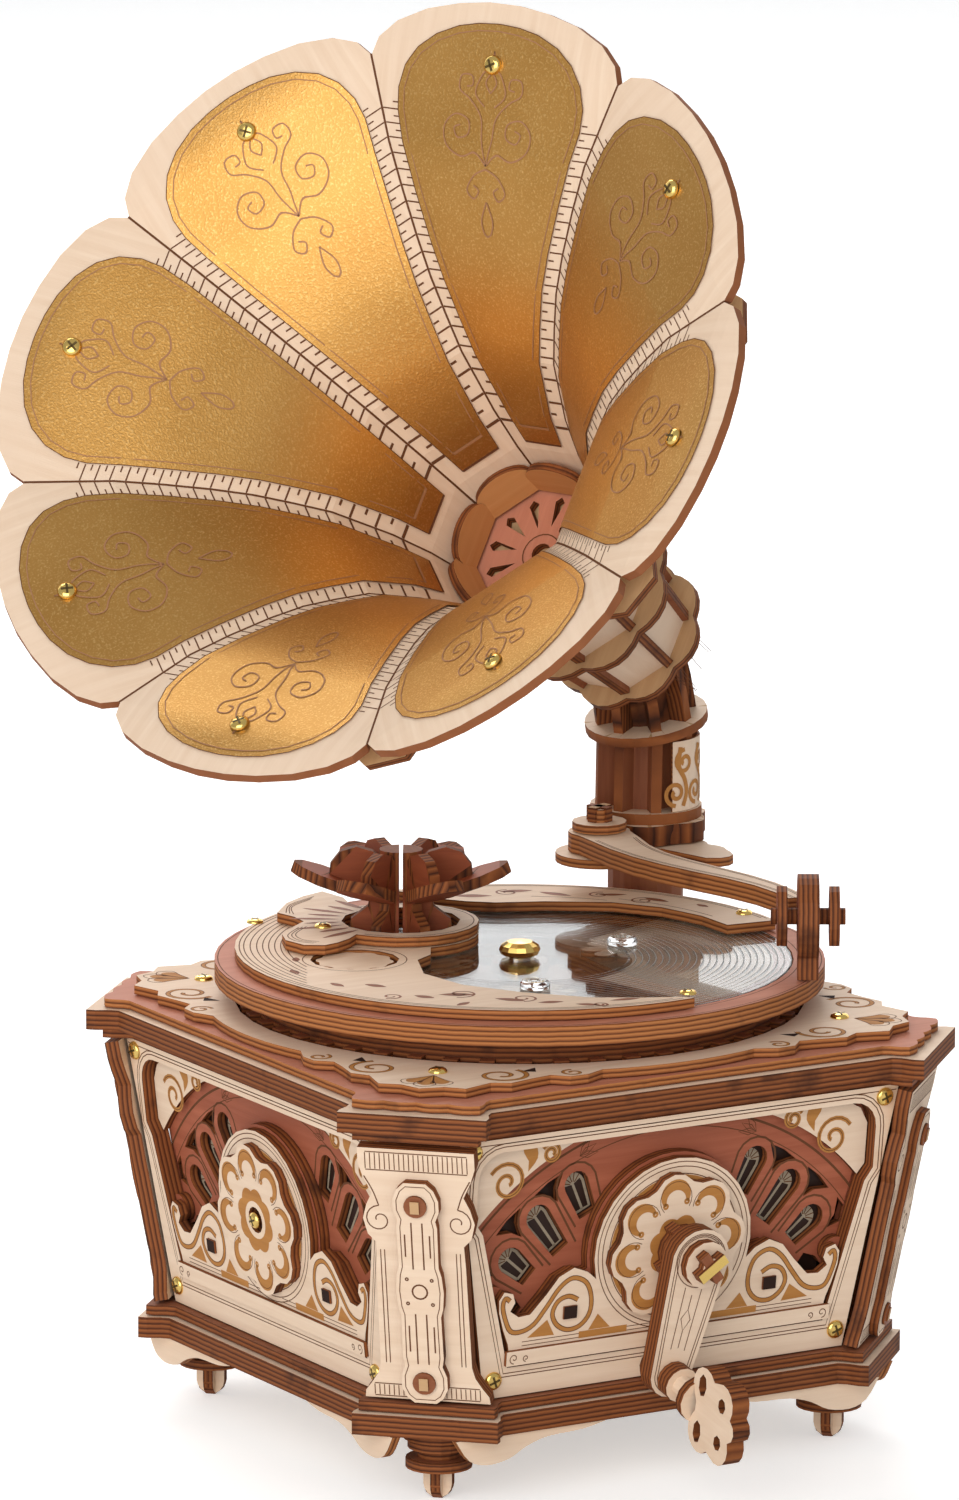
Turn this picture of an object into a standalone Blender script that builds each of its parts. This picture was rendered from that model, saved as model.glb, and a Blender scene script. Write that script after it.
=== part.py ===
"""Hand cranked wooden gramophone music box, built as a kit of separate pieces."""
import bpy
import bmesh
import math
from mathutils import Matrix, Vector

# Joints between pieces and common sheet
GAP = 0.0003
SHEET = 0.0020
SINK = 0.0010
HALF = 0.5
TURN = 2 * math.pi
QUARTER = math.pi / 2
SIDES = 4
ROUND_STEPS = 40
SMALL_STEPS = 14
SHARP_ANGLE = math.radians(35)

# Base box levels, from the floor up
FOOT_TAB_TOP = 0.0064
PLINTH_LOW = 0.0147
PLINTH_TOP = 0.0190
MOULDING_TOP = 0.0213
WALL_LOW = MOULDING_TOP + GAP
WALL_TOP = 0.0756
CORNICE_LOW = WALL_TOP + GAP
CORNICE_STEP = 0.0779
CORNICE_TOP = 0.0820
RED_LOW = CORNICE_TOP + GAP
RED_TOP = 0.0840
DECK_LOW = RED_TOP + GAP
DECK_TOP = 0.0861

# Base box outlines: flat side distance, corner reach and half width of the chamfer
PLINTH_FLAT = 0.0588
PLINTH_REACH = 0.0754
PLINTH_CHAMFER = 0.0147
MOULDING_FLAT = 0.0576
MOULDING_REACH = 0.0740
MOULDING_CHAMFER = 0.0137
MOULDING_OPENING = 0.0500
INSET_FLAT = 0.0630
INSET_REACH = 0.0832
INSET_CHAMFER = 0.0126
CORNICE_FLAT = 0.0662
CORNICE_REACH = 0.0860
CORNICE_CHAMFER = 0.0149
RED_FLAT = 0.0642
RED_REACH = 0.0826
RED_CHAMFER = 0.0128
CORNER_BLEND = 0.0042
CORNER_STEPS = 3
SCALLOP_DEPTH = 0.0009
SCALLOPS = 4
SCALLOP_STEPS = 4

# Deck ring and its corner ornament, as discs round the turntable axis
DECK_HOLE_RADIUS = 0.0570
DECK_RING_RADIUS = 0.0630
DECK_SAMPLES = 112
PALM_TIP_AT = 0.0755
PALM_TIP_RADIUS = 0.0042
PALM_SIDE_AT = 0.0745
PALM_SIDE_RADIUS = 0.0040
PALM_SIDE_TURN = math.radians(5.2)
PALM_BODY_AT = 0.0590
PALM_BODY_RADIUS = 0.0145
SPIRAL_AT = 0.0665
SPIRAL_RADIUS = 0.0064
SPIRAL_TURN = math.radians(11.0)
SCROLL_END_AT = 0.0646
SCROLL_END_RADIUS = 0.0031
SCROLL_END_TURN = math.radians(23.4)
SCROLL_ARM_AT = 0.0632
SCROLL_ARM_RADIUS = 0.0034
SCROLL_ARM_TURN = math.radians(17.6)

# Cornice spokes that carry the spindle bearing
SPOKE_HALF_WIDTH = 0.0045
BEARING_RADIUS = 0.0090
BEARING_BORE = 0.0043
SPOKE_OUTER_STEPS = 9
SPOKE_INNER_STEPS = 2

# Leaning wall panels, one on each side
WALL_LOW_FACE = 0.0558
WALL_HIGH_FACE = 0.0620
WALL_LOW_HALF = 0.0415
WALL_HIGH_HALF = 0.0505
PANEL_THICK = 0.0039
WINDOW_LOW = 0.0060
WINDOW_HIGH = 0.0512
WINDOW_LOW_HALF = 0.0365
WINDOW_STEP_AT = 0.0345
WINDOW_STEP_HALF = 0.0440
WINDOW_STEP_RISE = 0.0026
WINDOW_TOP_HALF = 0.0458
WINDOW_CORNER = 0.0055
WINDOW_ARC_STEPS = 5
WHEEL_HIGH = 0.0269

# Arched fretwork behind each window
FRET_THICK = 0.0018
FRET_LOW = 0.0030
FRET_HIGH = 0.0525
FRET_LOW_HALF = 0.0385
FRET_HIGH_HALF = 0.0478
ARCH_RADIUS = 0.0420
ARCH_DROP = 0.0130
PETAL_BACK = 0.0085
PETAL_HALF_LENGTH = 0.0045
PETAL_HALF_WIDTH = 0.0023
PETAL_TURNS = [math.radians(turn) for turn in (1.0, 19.0, 37.0)]
PETAL_END_STEPS = 3
KITE_TURNS = [math.radians(turn) for turn in (10.0, 28.0, 46.0)]
KITE_BACK = 0.0028
KITE_HALF = 0.0019

# Scroll rail with its round disc and the flower rosette on it
RAIL_THICK = 0.0019
DISC_RADIUS = 0.0180
DISC_STEPS = 16
DISC_START = math.radians(-16.0)
WAVE = [
    (0.0358, -0.0203), (0.0367, -0.0160), (0.0380, -0.0128), (0.0391, -0.0092),
    (0.0393, -0.0066), (0.0382, -0.0050), (0.0362, -0.0056), (0.0356, -0.0075),
    (0.0366, -0.0092), (0.0346, -0.0106), (0.0320, -0.0104), (0.0285, -0.0067),
    (0.0258, -0.0034), (0.0225, -0.0019), (0.0193, -0.0032),
]
ROSETTE_RISE = 0.0020
ROSETTE_LOBES = 8
ROSETTE_LOBE_AT = 0.0106
ROSETTE_LOBE_RADIUS = 0.0049
ROSETTE_CORE = 0.0110
ROSETTE_TURN = math.radians(7.0)
ROSETTE_SAMPLES = 40
HUB_BORE = 0.0027

# Corner pilasters and the keyhole plates on them
PILASTER_THICK = 0.0030
PILASTER_PLAY = 0.0004
PILASTER_HALVES = [
    (0.0009, 0.0126), (0.0024, 0.0124), (0.0040, 0.0112), (0.0062, 0.0098),
    (0.0085, 0.0092), (0.0300, 0.0090), (0.0345, 0.0088), (0.0362, 0.0104),
    (0.0395, 0.0112), (0.0425, 0.0104), (0.0450, 0.0092), (0.0484, 0.0108),
    (0.0512, 0.0117), (0.0546, 0.0117),
]
KEY_THICK = 0.0019
KEY_HALVES = [
    (0.0012, 0.0022), (0.0024, 0.0037), (0.0043, 0.0046), (0.0070, 0.0046), (0.0092, 0.0038),
    (0.0110, 0.0041), (0.0200, 0.0040), (0.0217, 0.0045), (0.0252, 0.0048), (0.0287, 0.0045),
    (0.0305, 0.0040), (0.0390, 0.0041), (0.0405, 0.0038), (0.0424, 0.0046), (0.0448, 0.0046),
    (0.0470, 0.0037), (0.0484, 0.0022),
]

# Feet under the chamfered corners
FOOT_REACH = 0.0641
FOOT_STEPS = 16
FOOT_PROFILE = [
    (0.0056, PLINTH_LOW - GAP), (0.0056, 0.0124), (0.0046, 0.0124), (0.0042, 0.0084),
    (0.0060, 0.0084), (0.0060, FOOT_TAB_TOP),
]
TAB_HALF_WIDTH = 0.0029
TAB_THICK = 0.0020
TAB_END_STEPS = 5

# Turntable
RIM_LOW = 0.0906
RIM_TOP = 0.0946
RIM_RADIUS = 0.0611
RIM_STEPS = 56
RECORD_RADIUS = 0.0545
RECORD_THICK = 0.0018
RIM_LEDGE = 0.0500
RECORD_LOW = RIM_TOP - RECORD_THICK
OVERLAY_LOW = RIM_TOP + GAP
OVERLAY_TOP = OVERLAY_LOW + SHEET
OVERLAY_RADIUS = 0.0570
WING_LOW = OVERLAY_TOP + GAP
WING_TOP = WING_LOW + SHEET
FLOWER_AT = (-0.0140, 0.0231)
FLOWER_HOLE = 0.0120
FLOWER_RING = 0.0157
GEAR_PITCH = HALF * math.hypot(*FLOWER_AT)
WHEEL_TURN = math.radians(219.75)
WHEEL_AT = (
    FLOWER_AT[0] + 2 * GEAR_PITCH * math.cos(WHEEL_TURN), FLOWER_AT[1] + 2 * GEAR_PITCH * math.sin(WHEEL_TURN),
)
WHEEL_WINDOW = 0.0089
WHEEL_PETALS = 10
WHEEL_PETAL_AT = 0.0054
WHEEL_PETAL_RADIUS = 0.0024
WHEEL_CORE = 0.0046
WHEEL_PIN_RADIUS = 0.0013
WHEEL_SAMPLES = 50
CRESCENT_START = math.radians(106.0)
CRESCENT_SWEEP = math.radians(170.0)
CRESCENT_OUTER_STEPS = 26
CRESCENT_INNER = [
    (math.radians(-86.0), 0.0545), (math.radians(-92.0), 0.0520), (math.radians(-104.0), 0.0476),
    (math.radians(-121.0), 0.0410), (math.radians(-139.0), 0.0366), (math.radians(-158.0), 0.0315),
    (math.radians(-178.0), 0.0242), (math.radians(-186.0), 0.0196),
]
RING_START = math.radians(-98.0)
RING_SWEEP = math.radians(196.0)
RING_STEPS = 16
WING_SHAPE = [
    (-0.0135, 0.0470), (-0.0143, 0.0542), (-0.0200, 0.0522), (-0.0260, 0.0484), (-0.0320, 0.0417),
    (-0.0310, 0.0365), (-0.0314, 0.0320), (-0.0360, 0.0285), (-0.0410, 0.0240), (-0.0430, 0.0191),
    (-0.0420, 0.0135), (-0.0385, 0.0112), (-0.0350, 0.0120), (-0.0312, 0.0140),
]
WING_RING_START = math.radians(-155.0)
WING_RING_SWEEP = math.radians(253.0)
ARC_INNER = [
    (math.radians(-6.0), 0.0462), (math.radians(6.0), 0.0462), (math.radians(20.0), 0.0458),
    (math.radians(34.0), 0.0443), (math.radians(52.0), 0.0411), (math.radians(66.0), 0.0398),
    (math.radians(74.0), 0.0420), (math.radians(80.0), 0.0460),
]
ARC_START = math.radians(-6.0)
ARC_SWEEP = math.radians(92.0)
ARC_STEPS = 16
KNOB_PROFILE = [
    (0.0000, 0.0031), (0.0026, 0.0029), (0.0038, 0.0022), (0.0042, 0.0013), (0.0038, 0.0004),
    (0.0030, 0.0000), (0.0020, 0.0000), (0.0020, -0.0018), (0.0000, -0.0018),
]

# Flower figure that stands in the record's round hole
FLOWER_SPLIT = 0.0008
FLOWER_CORE = 0.0040
FLOWER_CORE_STEPS = 8
FLOWER_FOOT = 0.0949
FLOWER_TALL = 0.0190
RIB_THICK = 0.0022
RIB_SHAPE = [
    (0.0026, 0.0000), (0.0080, 0.0000), (0.0100, 0.0020), (0.0096, 0.0048), (0.0062, 0.0074),
    (0.0060, 0.0088), (0.0094, 0.0100), (0.0126, 0.0116), (0.0140, 0.0138), (0.0138, 0.0160),
    (0.0118, 0.0186), (0.0086, 0.0196), (0.0052, 0.0186), (0.0026, 0.0160),
]
RIB_TURNS = [math.radians(turn) for turn in (28.0, 90.0, 152.0)]
LEAF_INNER = 0.0084
LEAF_SHAPE = [
    (0.0000, 0.0034), (0.0030, 0.0050), (0.0085, 0.0052), (0.0125, 0.0034), (0.0142, 0.0008),
]
LEAF_THICK = 0.0022
LEAF_TILT = math.radians(20.0)
LEAF_HIGH = 0.0096
FLOWER_TURN = math.radians(-121.0)
STEM_RADIUS = 0.0030
GEAR_LOW = 0.0873
GEAR_TOP = 0.0889
GEAR_TEETH = 15
GEAR_RISE = 0.0012
GEAR_FALL = 0.0016
GEAR_TIP_SHARE = 0.15
GEAR_FLANK_SHARE = 0.21

# Fixed post that carries the record, and the sleeve that turns on it
POST_RADIUS = 0.0022
POST_FLANGE = 0.0058
POST_FLANGE_THICK = 0.0020
POST_FOOT_RADIUS = 0.0040
SLEEVE_BORE = 0.0025
SLEEVE_RADIUS = 0.0040
SLEEVE_LOW = 0.0570
SLEEVE_COLLAR = 0.0065
SLEEVE_WALL_SHARE = 0.80
CROWN_LOW = 0.0591
CROWN_TOP = 0.0611
CROWN_TEETH = 24
CROWN_ROOT = 0.0192
CROWN_TIP = 0.0225
CROWN_TOOTH_HALF = 0.0010
SPIDER_RADIUS = 0.0540
SPIDER_OPEN = 0.0508
SPIDER_HUB = 0.0085
SPIDER_THICK = 0.0018
SPIDER_WALL_OUT = 0.0536
SPIDER_WALL_IN = 0.0513

# Crank: distances run outward along its own leaning axis from the panel face
SHAFT_RADIUS = 0.0022
PINION_TEETH = 8
PINION_ROOT = 0.0050
PINION_TIP = 0.0080
PINION_TOOTH_HALF = 0.0010
PINION_HALF_THICK = 0.0011
PINION_BACK = 0.0392
SHAFT_BACK = 0.0425
WORM_BACK_NEAR = 0.0125
WORM_BACK_FAR = 0.0245
WORM_RADIUS = 0.0036
COLLAR_NEAR = 0.0026
COLLAR_FAR = 0.0060
COLLAR_RADIUS = 0.0052
ARM_NEAR = 0.0064
ARM_FAR = 0.0104
CAP_NEAR = 0.0107
CAP_FAR = 0.0127
CAP_RADIUS = 0.0048
PEG_FAR = 0.0146
PEG_RADIUS = 0.0020
ARM_LENGTH = 0.0236
ARM_TOP_RADIUS = 0.0066
ARM_LOW_RADIUS = 0.0046
ARM_TURN = math.radians(12.5)
ARM_END_STEPS = 9
ARM_BORE = 0.0025

# Grip, which droops a little in its bore: distances run outward from the crank arm's far face
GRIP_DROOP = math.radians(6.0)
GRIP_PIN_RADIUS = 0.0014
GRIP_BORE = 0.0021
GRIP_WASHER_RADIUS = 0.0036
GRIP_WASHER_NEAR = 0.0008
GRIP_WASHER_FAR = 0.0043
GRIP_BAR_RADIUS = 0.0021
GRIP_BAR_FAR = 0.0095
GRIP_FLANGE_RADIUS = 0.0046
GRIP_FLANGE_FAR = 0.0115
GRIP_END_RADIUS = 0.0036
GRIP_END_NEAR = 0.0008
GRIP_END_THICK = 0.0012
CLOVER_THICK = 0.0039
CLOVER_DISCS = [
    (0.0000, 0.0000, 0.0056), (-0.0032, 0.0049, 0.0041), (-0.0032, -0.0049, 0.0041),
    (0.0034, 0.0046, 0.0039), (0.0034, -0.0046, 0.0039), (0.0060, 0.0000, 0.0026),
]
CLOVER_MIDDLE = 0.0068
CLOVER_SAMPLES = 36
CLOVER_HOLES = [
    (-0.0040, 0.0050, 0.0014, 0.0024), (-0.0040, -0.0050, 0.0014, 0.0024),
    (0.0034, 0.0040, 0.0013, 0.0016), (0.0034, -0.0040, 0.0013, 0.0016),
]
CLOVER_HOLE_STEPS = 7

# Music movement on the floor of the box
BED_LOW = PLINTH_TOP + GAP
BED_TOP = 0.0215
BED_FROM = -0.0060
BED_TO = 0.0300
CHEEK_THICK = 0.0020
CHEEK_TOP = 0.0420
BED_MIDDLE = 0.0405
BED_HALF_DEPTH = 0.0080
DRUM_HEIGHT = 0.0370
DRUM_RADIUS = 0.0062
DRUM_FROM = 0.0040
WORM_WHEEL_TEETH = 16
WORM_WHEEL_PITCH = 0.0082
WORM_WHEEL_HALF = 0.0012

# Gramophone column at the back corner
COLUMN_AT = (0.0575, 0.0455)
COLUMN_BASE_TOP = 0.1025
COLUMN_FOOT_RADIUS = 0.0100
COLUMN_POST_RADIUS = 0.0078
SHELF_LOW = COLUMN_BASE_TOP + GAP
SHELF_TOP = 0.1047
CLOUD_LOW = SHELF_TOP + GAP
CLOUD_TOP = 0.1092
CLOUD_RADIUS = 0.0112
CLOUD_SWELL = 0.0020
CLOUD_FACING = math.radians(2.3)
CLOUD_WAVES = 3
RING_LOW_TOP = 0.1115
RING_LOW_RADIUS = 0.0115
RIB_REACH = 0.0105
RIB_ROOT = 0.0066
RIBS = 8
RIB_HALF = 0.0011
MID_HEIGHT = 0.1292
MID_RADIUS = 0.0127
MID_TILT = math.radians(13.0)
ELBOW_SECTIONS = 3

# Horn: its throat, its axis and its neck, distances along the axis from the throat
THROAT_REACH = 0.0392
THROAT_ABOVE_ARM = 0.0610
HORN_TURN = math.radians(205.0)
HORN_RISE = math.radians(34.35)
HORN_ROLL = math.radians(-1.4)
PETALS = 8
NECK_BACK = -0.0400
NECK_SCALLOP = 0.0168
NECK_LOW_RADIUS = 0.0135
NECK_HIGH_RADIUS = 0.0158
COLLAR_BACK = -0.0200
COLLAR_SCALLOP = 0.0196
THROAT_RADIUS = 0.0178
THROAT_PLATE = 0.0020
SCALLOP_SHARE = 0.09
NECK_SAMPLES = 48
SLOTS = 12
SLOT_FROM = 0.0060
SLOT_TO = 0.0126
SLOT_HALF = 0.0011
THROAT_HOLE = 0.0022
PETAL_PROFILE = [
    (0.0163, 0.0000), (0.0182, 0.0100), (0.0213, 0.0204), (0.0272, 0.0343), (0.0320, 0.0412),
    (0.0370, 0.0478), (0.0427, 0.0536), (0.0500, 0.0600), (0.0573, 0.0657), (0.0655, 0.0700),
    (0.0722, 0.0735), (0.0755, 0.0749), (0.0790, 0.0761), (0.0820, 0.0770), (0.0838, 0.0775),
    (0.0846, 0.0778),
]
NOTCH_ROW = 10
PETAL_PLAY = 0.0002
PETAL_TIP_SHARE = 0.12
HORN_RING_LOW = 0.0640
HORN_RING_THICK = 0.0020
HORN_RING_INNER = 0.0634
HORN_RING_RADIUS = 0.0705
HORN_LOBE_AT = 0.0705
HORN_LOBE_RADIUS = 0.0090
HORN_RING_SAMPLES = 56

# Tonearm
PIVOT_AT = (0.0412, 0.0371)
TONEARM_LOW = SHELF_TOP + GAP
TONEARM_TOP = 0.1090
TONEARM_LINE = [
    (0.0398, 0.0285, 0.0052), (0.0384, 0.0205, 0.0044), (0.0381, 0.0125, 0.0039),
    (0.0390, 0.0040, 0.0036), (0.0408, -0.0050, 0.0033), (0.0428, -0.0140, 0.0029),
    (0.0438, -0.0225, 0.0025), (0.0436, -0.0300, 0.0022), (0.0428, -0.0362, 0.0020),
]
TONEARM_ROUND = 0.0064
TONEARM_ROUND_STEPS = 10
TONEARM_SPREAD = math.radians(62.0)
TONEARM_BORE = 0.0021
PIN_RADIUS = 0.0017
PIN_WASHER_RADIUS = 0.0056
PIN_WASHER_TOP = 0.1111
PIN_TOP = 0.1138
PIN_PEG_RADIUS = 0.0024
HEAD_AT = (0.0392, -0.0457)
HEAD_HEIGHT = 0.1074
HEAD_RADIUS = 0.0084
HEAD_THICK = 0.0042
HEAD_TURN = math.radians(-31.0)
HEAD_STEPS = 22
NEEDLE_HALF = 0.0024
NEEDLE_LOW = RIM_TOP + GAP
AXLE_RADIUS = 0.0017
AXLE_BORE = 0.0020
AXLE_WASHER_RADIUS = 0.0061
AXLE_WASHER_NEAR = 0.0042
AXLE_WASHER_FAR = 0.0062
AXLE_END = 0.0074
SHELF_DISCS = [
    (COLUMN_AT[0], COLUMN_AT[1], 0.0095), (PIVOT_AT[0], PIVOT_AT[1], 0.0090),
    (0.0495, 0.0412, 0.0085), (0.0590, 0.0350, 0.0060), (0.0605, 0.0280, 0.0048),
    (0.0600, 0.0232, 0.0041),
]
SHELF_CENTRE = (0.0530, 0.0370)
SHELF_SAMPLES = 56

# Colours
CREAM = (0.80, 0.63, 0.45)
PALE = (0.84, 0.70, 0.53)
COPPER = (0.60, 0.27, 0.17)
BURNT = (0.22, 0.09, 0.04)
GOLD = (0.62, 0.42, 0.12)
BRASS = (0.82, 0.62, 0.24)
CLEAR = (0.90, 0.92, 0.93)
STEEL = (0.55, 0.55, 0.56)
WOOD_ROUGH = 0.62
METAL_ROUGH = 0.28
CLEAR_ROUGH = 0.05


def clear_scene():
    for item in list(bpy.data.objects):
        bpy.data.objects.remove(item, do_unlink=True)


def surface(name, colour, roughness=WOOD_ROUGH, metallic=0.0, transmission=0.0):
    material = bpy.data.materials.new(name)
    material.use_nodes = True
    shader = material.node_tree.nodes["Principled BSDF"]
    shader.inputs["Base Color"].default_value = (*colour, 1.0)
    shader.inputs["Roughness"].default_value = roughness
    shader.inputs["Metallic"].default_value = metallic
    shader.inputs["Transmission Weight"].default_value = transmission
    return material


def pivot(name, parent=None, matrix=None):
    holder = bpy.data.objects.new(name, None)
    bpy.context.scene.collection.objects.link(holder)
    holder.parent = parent
    holder.matrix_local = matrix or Matrix()
    return holder


def piece(name, mesh, material, parent, matrix=None, smooth=False):
    body = bpy.data.objects.new(name, mesh)
    bpy.context.scene.collection.objects.link(body)
    body.parent = parent
    body.matrix_local = matrix or Matrix()
    if not mesh.materials:
        mesh.materials.append(material)
    if smooth:
        mesh.shade_smooth()
        mesh.set_sharp_from_angle(angle=SHARP_ANGLE)
    return body


def tool(name, mesh, target, operation, matrix=None):
    cutter = piece(name, mesh, target.data.materials[0], target, matrix)
    cutter.hide_render = True
    cutter.display_type = "WIRE"
    step = target.modifiers.new(name, "BOOLEAN")
    step.operation = operation
    step.object = cutter
    step.solver = "EXACT"
    return cutter


def finish_mesh(name, build):
    bmesh.ops.recalc_face_normals(build, faces=build.faces[:])
    mesh = bpy.data.meshes.new(name)
    build.to_mesh(mesh)
    build.free()
    return mesh


def cap(build, loops, height):
    """Fill flat loops and hand back their corners."""
    rows = []
    edges = []
    for loop in loops:
        corners = [build.verts.new((x, y, height)) for x, y in loop]
        for first, second in zip(corners, corners[1:] + corners[:1]):
            edges.append(build.edges.new((first, second)))
        rows.append(corners)
    bmesh.ops.triangle_fill(build, use_beauty=True, use_dissolve=False, edges=edges)
    return rows


def wall(build, low, high):
    for here in range(len(low)):
        there = (here + 1) % len(low)
        build.faces.new((low[here], low[there], high[there], high[here]))


def plate(name, outline, holes=(), thickness=SHEET):
    build = bmesh.new()
    floor = cap(build, (outline, *holes), 0)
    roof = cap(build, (outline, *holes), thickness)
    for low, high in zip(floor, roof):
        wall(build, low, high)
    return finish_mesh(name, build)


def stepped_plate(name, low_outline, outline, holes, step, thickness):
    """Two glued plates of the same holes, with outlines of the same point count."""
    build = bmesh.new()
    floor = cap(build, (low_outline, *holes), 0)
    roof = cap(build, (outline, *holes), thickness)
    waist = [build.verts.new((x, y, step)) for x, y in low_outline]
    brow = [build.verts.new((x, y, step)) for x, y in outline]
    wall(build, floor[0], waist)
    wall(build, waist, brow)
    wall(build, brow, roof[0])
    for low, high in zip(floor[1:], roof[1:]):
        wall(build, low, high)
    return finish_mesh(name, build)


def loft(name, rings):
    """Close a body over rings of points that all have the same count."""
    build = bmesh.new()
    rows = [[build.verts.new(point) for point in ring] for ring in rings]
    for low, high in zip(rows, rows[1:]):
        for here in range(len(low)):
            there = (here + 1) % len(low)
            build.faces.new((low[here], low[there], high[there], high[here]))
    build.faces.new(rows[0])
    build.faces.new(rows[-1])
    return finish_mesh(name, build)


def lathe(name, profile, steps=ROUND_STEPS):
    """Turn a closed profile of radius and height round the Z axis."""
    build = bmesh.new()
    columns = []
    for radius, height in profile:
        if radius == 0:
            columns.append([build.verts.new((0, 0, height))] * steps)
            continue
        turns = [TURN * step / steps for step in range(steps)]
        columns.append([
            build.verts.new((radius * math.cos(turn), radius * math.sin(turn), height)) for turn in turns
        ])
    for low, high in zip(columns, columns[1:] + columns[:1]):
        for here in range(steps):
            there = (here + 1) % steps
            corners = []
            for corner in (low[here], low[there], high[there], high[here]):
                if corner not in corners:
                    corners.append(corner)
            if len(corners) > 2:
                build.faces.new(corners)
    return finish_mesh(name, build)


def solid_profile(profile):
    """Close an open stepped profile to the axis at both ends."""
    return [(0, profile[0][1]), *profile, (0, profile[-1][1])]


def arc(radius, start, sweep, steps, centre=(0, 0)):
    return [
        (
            centre[0] + radius * math.cos(start + sweep * step / steps),
            centre[1] + radius * math.sin(start + sweep * step / steps),
        )
        for step in range(steps + 1)
    ]


def circle(radius, steps=SMALL_STEPS, centre=(0, 0)):
    return arc(radius, 0, TURN, steps, centre)[:-1]


def ray_reach(turn, at, facing, radius):
    """Far crossing of a ray from the origin with a disc, or zero."""
    across = at * math.sin(turn - facing)
    if abs(across) >= radius:
        return 0
    return at * math.cos(turn - facing) + math.sqrt(radius * radius - across * across)


def merged_discs(discs, samples, centre=(0, 0), start=0):
    """Outline of discs that together hold the centre, as seen from the centre."""
    outline = []
    polar = [
        (math.hypot(x - centre[0], y - centre[1]), math.atan2(y - centre[1], x - centre[0]), radius)
        for x, y, radius in discs
    ]
    for sample in range(samples):
        turn = start + TURN * sample / samples
        reach = max(ray_reach(turn, at, facing, radius) for at, facing, radius in polar)
        outline.append((centre[0] + reach * math.cos(turn), centre[1] + reach * math.sin(turn)))
    return outline


def at_turn(at, turn):
    return at * math.cos(turn), at * math.sin(turn)


def cornered(flat, reach, half, scallops=0):
    """Square outline whose chamfered corners stand out on S curves."""
    near = (reach - half) * math.sqrt(HALF)
    far = (reach + half) * math.sqrt(HALF)
    rise = []
    for step in range(CORNER_STEPS + 1):
        share = step / CORNER_STEPS
        eased = share * share * (3 - 2 * share)
        rise.append((flat + (far - flat) * eased, near - CORNER_BLEND + CORNER_BLEND * share))
    chamfer = []
    count = scallops * SCALLOP_STEPS
    for step in range(1, count):
        share = step / count
        swell = SCALLOP_DEPTH * abs(math.sin(math.pi * scallops * share)) * math.sqrt(HALF)
        chamfer.append((far + (near - far) * share + swell, near + (far - near) * share + swell))
    fall = [(y, x) for x, y in reversed(rise)]
    corner = rise + chamfer + fall
    outline = []
    for side in range(SIDES):
        turned = Matrix.Rotation(QUARTER * side, 2)
        outline.extend(tuple(turned @ Vector(point)) for point in corner)
    return outline


def mirrored(halves):
    """Outline from heights and half widths, up one side and down the other."""
    right = [(half, height) for height, half in halves]
    left = [(-half, height) for height, half in reversed(halves)]
    return right + left


def lift(height):
    return Matrix.Translation((0, 0, height))


def gear_outline(teeth, pitch, turn=0):
    """Straight flanked teeth centred on the given turn."""
    outline = []
    step = TURN / teeth
    root = pitch - GEAR_FALL
    tip = pitch + GEAR_RISE
    for tooth in range(teeth):
        middle = turn + step * tooth
        outline.append(at_turn(root, middle - step * GEAR_FLANK_SHARE))
        outline.append(at_turn(tip, middle - step * GEAR_TIP_SHARE))
        outline.append(at_turn(tip, middle + step * GEAR_TIP_SHARE))
        outline.append(at_turn(root, middle + step * GEAR_FLANK_SHARE))
    return outline


def peg_outline(teeth, root, tip, half, turn=0):
    """Parallel sided teeth for wheels that cross at a right angle."""
    outline = []
    for tooth in range(teeth):
        middle = Matrix.Rotation(turn + TURN * tooth / teeth, 2)
        for at, side in ((root, -half), (tip, -half), (tip, half), (root, half)):
            outline.append(tuple(middle @ Vector((at, side))))
    return outline


def build_base(root, look):
    plinth = plate("plinth_plate", cornered(PLINTH_FLAT, PLINTH_REACH, PLINTH_CHAMFER),
                   thickness=PLINTH_TOP - PLINTH_LOW)
    piece("plinth_plate", plinth, look["pale"], root, lift(PLINTH_LOW))
    opening = [
        (MOULDING_OPENING, MOULDING_OPENING), (-MOULDING_OPENING, MOULDING_OPENING),
        (-MOULDING_OPENING, -MOULDING_OPENING), (MOULDING_OPENING, -MOULDING_OPENING),
    ]
    moulding = plate("plinth_moulding", cornered(MOULDING_FLAT, MOULDING_REACH, MOULDING_CHAMFER),
                     [opening], MOULDING_TOP - PLINTH_TOP - GAP)
    piece("plinth_moulding", moulding, look["copper"], root, lift(PLINTH_TOP + GAP))
    inset = cornered(INSET_FLAT, INSET_REACH, INSET_CHAMFER)
    cornice = cornered(CORNICE_FLAT, CORNICE_REACH, CORNICE_CHAMFER)
    lid = stepped_plate("cornice_plate", inset, cornice, spoke_windows(), CORNICE_STEP - CORNICE_LOW,
                        CORNICE_TOP - CORNICE_LOW)
    piece("cornice_plate", lid, look["pale"], root, lift(CORNICE_LOW))
    red = plate("red_plate", cornered(RED_FLAT, RED_REACH, RED_CHAMFER, SCALLOPS),
                [circle(DECK_HOLE_RADIUS, ROUND_STEPS)], RED_TOP - RED_LOW)
    piece("red_plate", red, look["copper"], root, lift(RED_LOW))
    piece("deck_ring", plate("deck_ring", deck_outline(), [circle(DECK_HOLE_RADIUS, ROUND_STEPS)],
                             DECK_TOP - DECK_LOW), look["pale"], root, lift(DECK_LOW))


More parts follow.
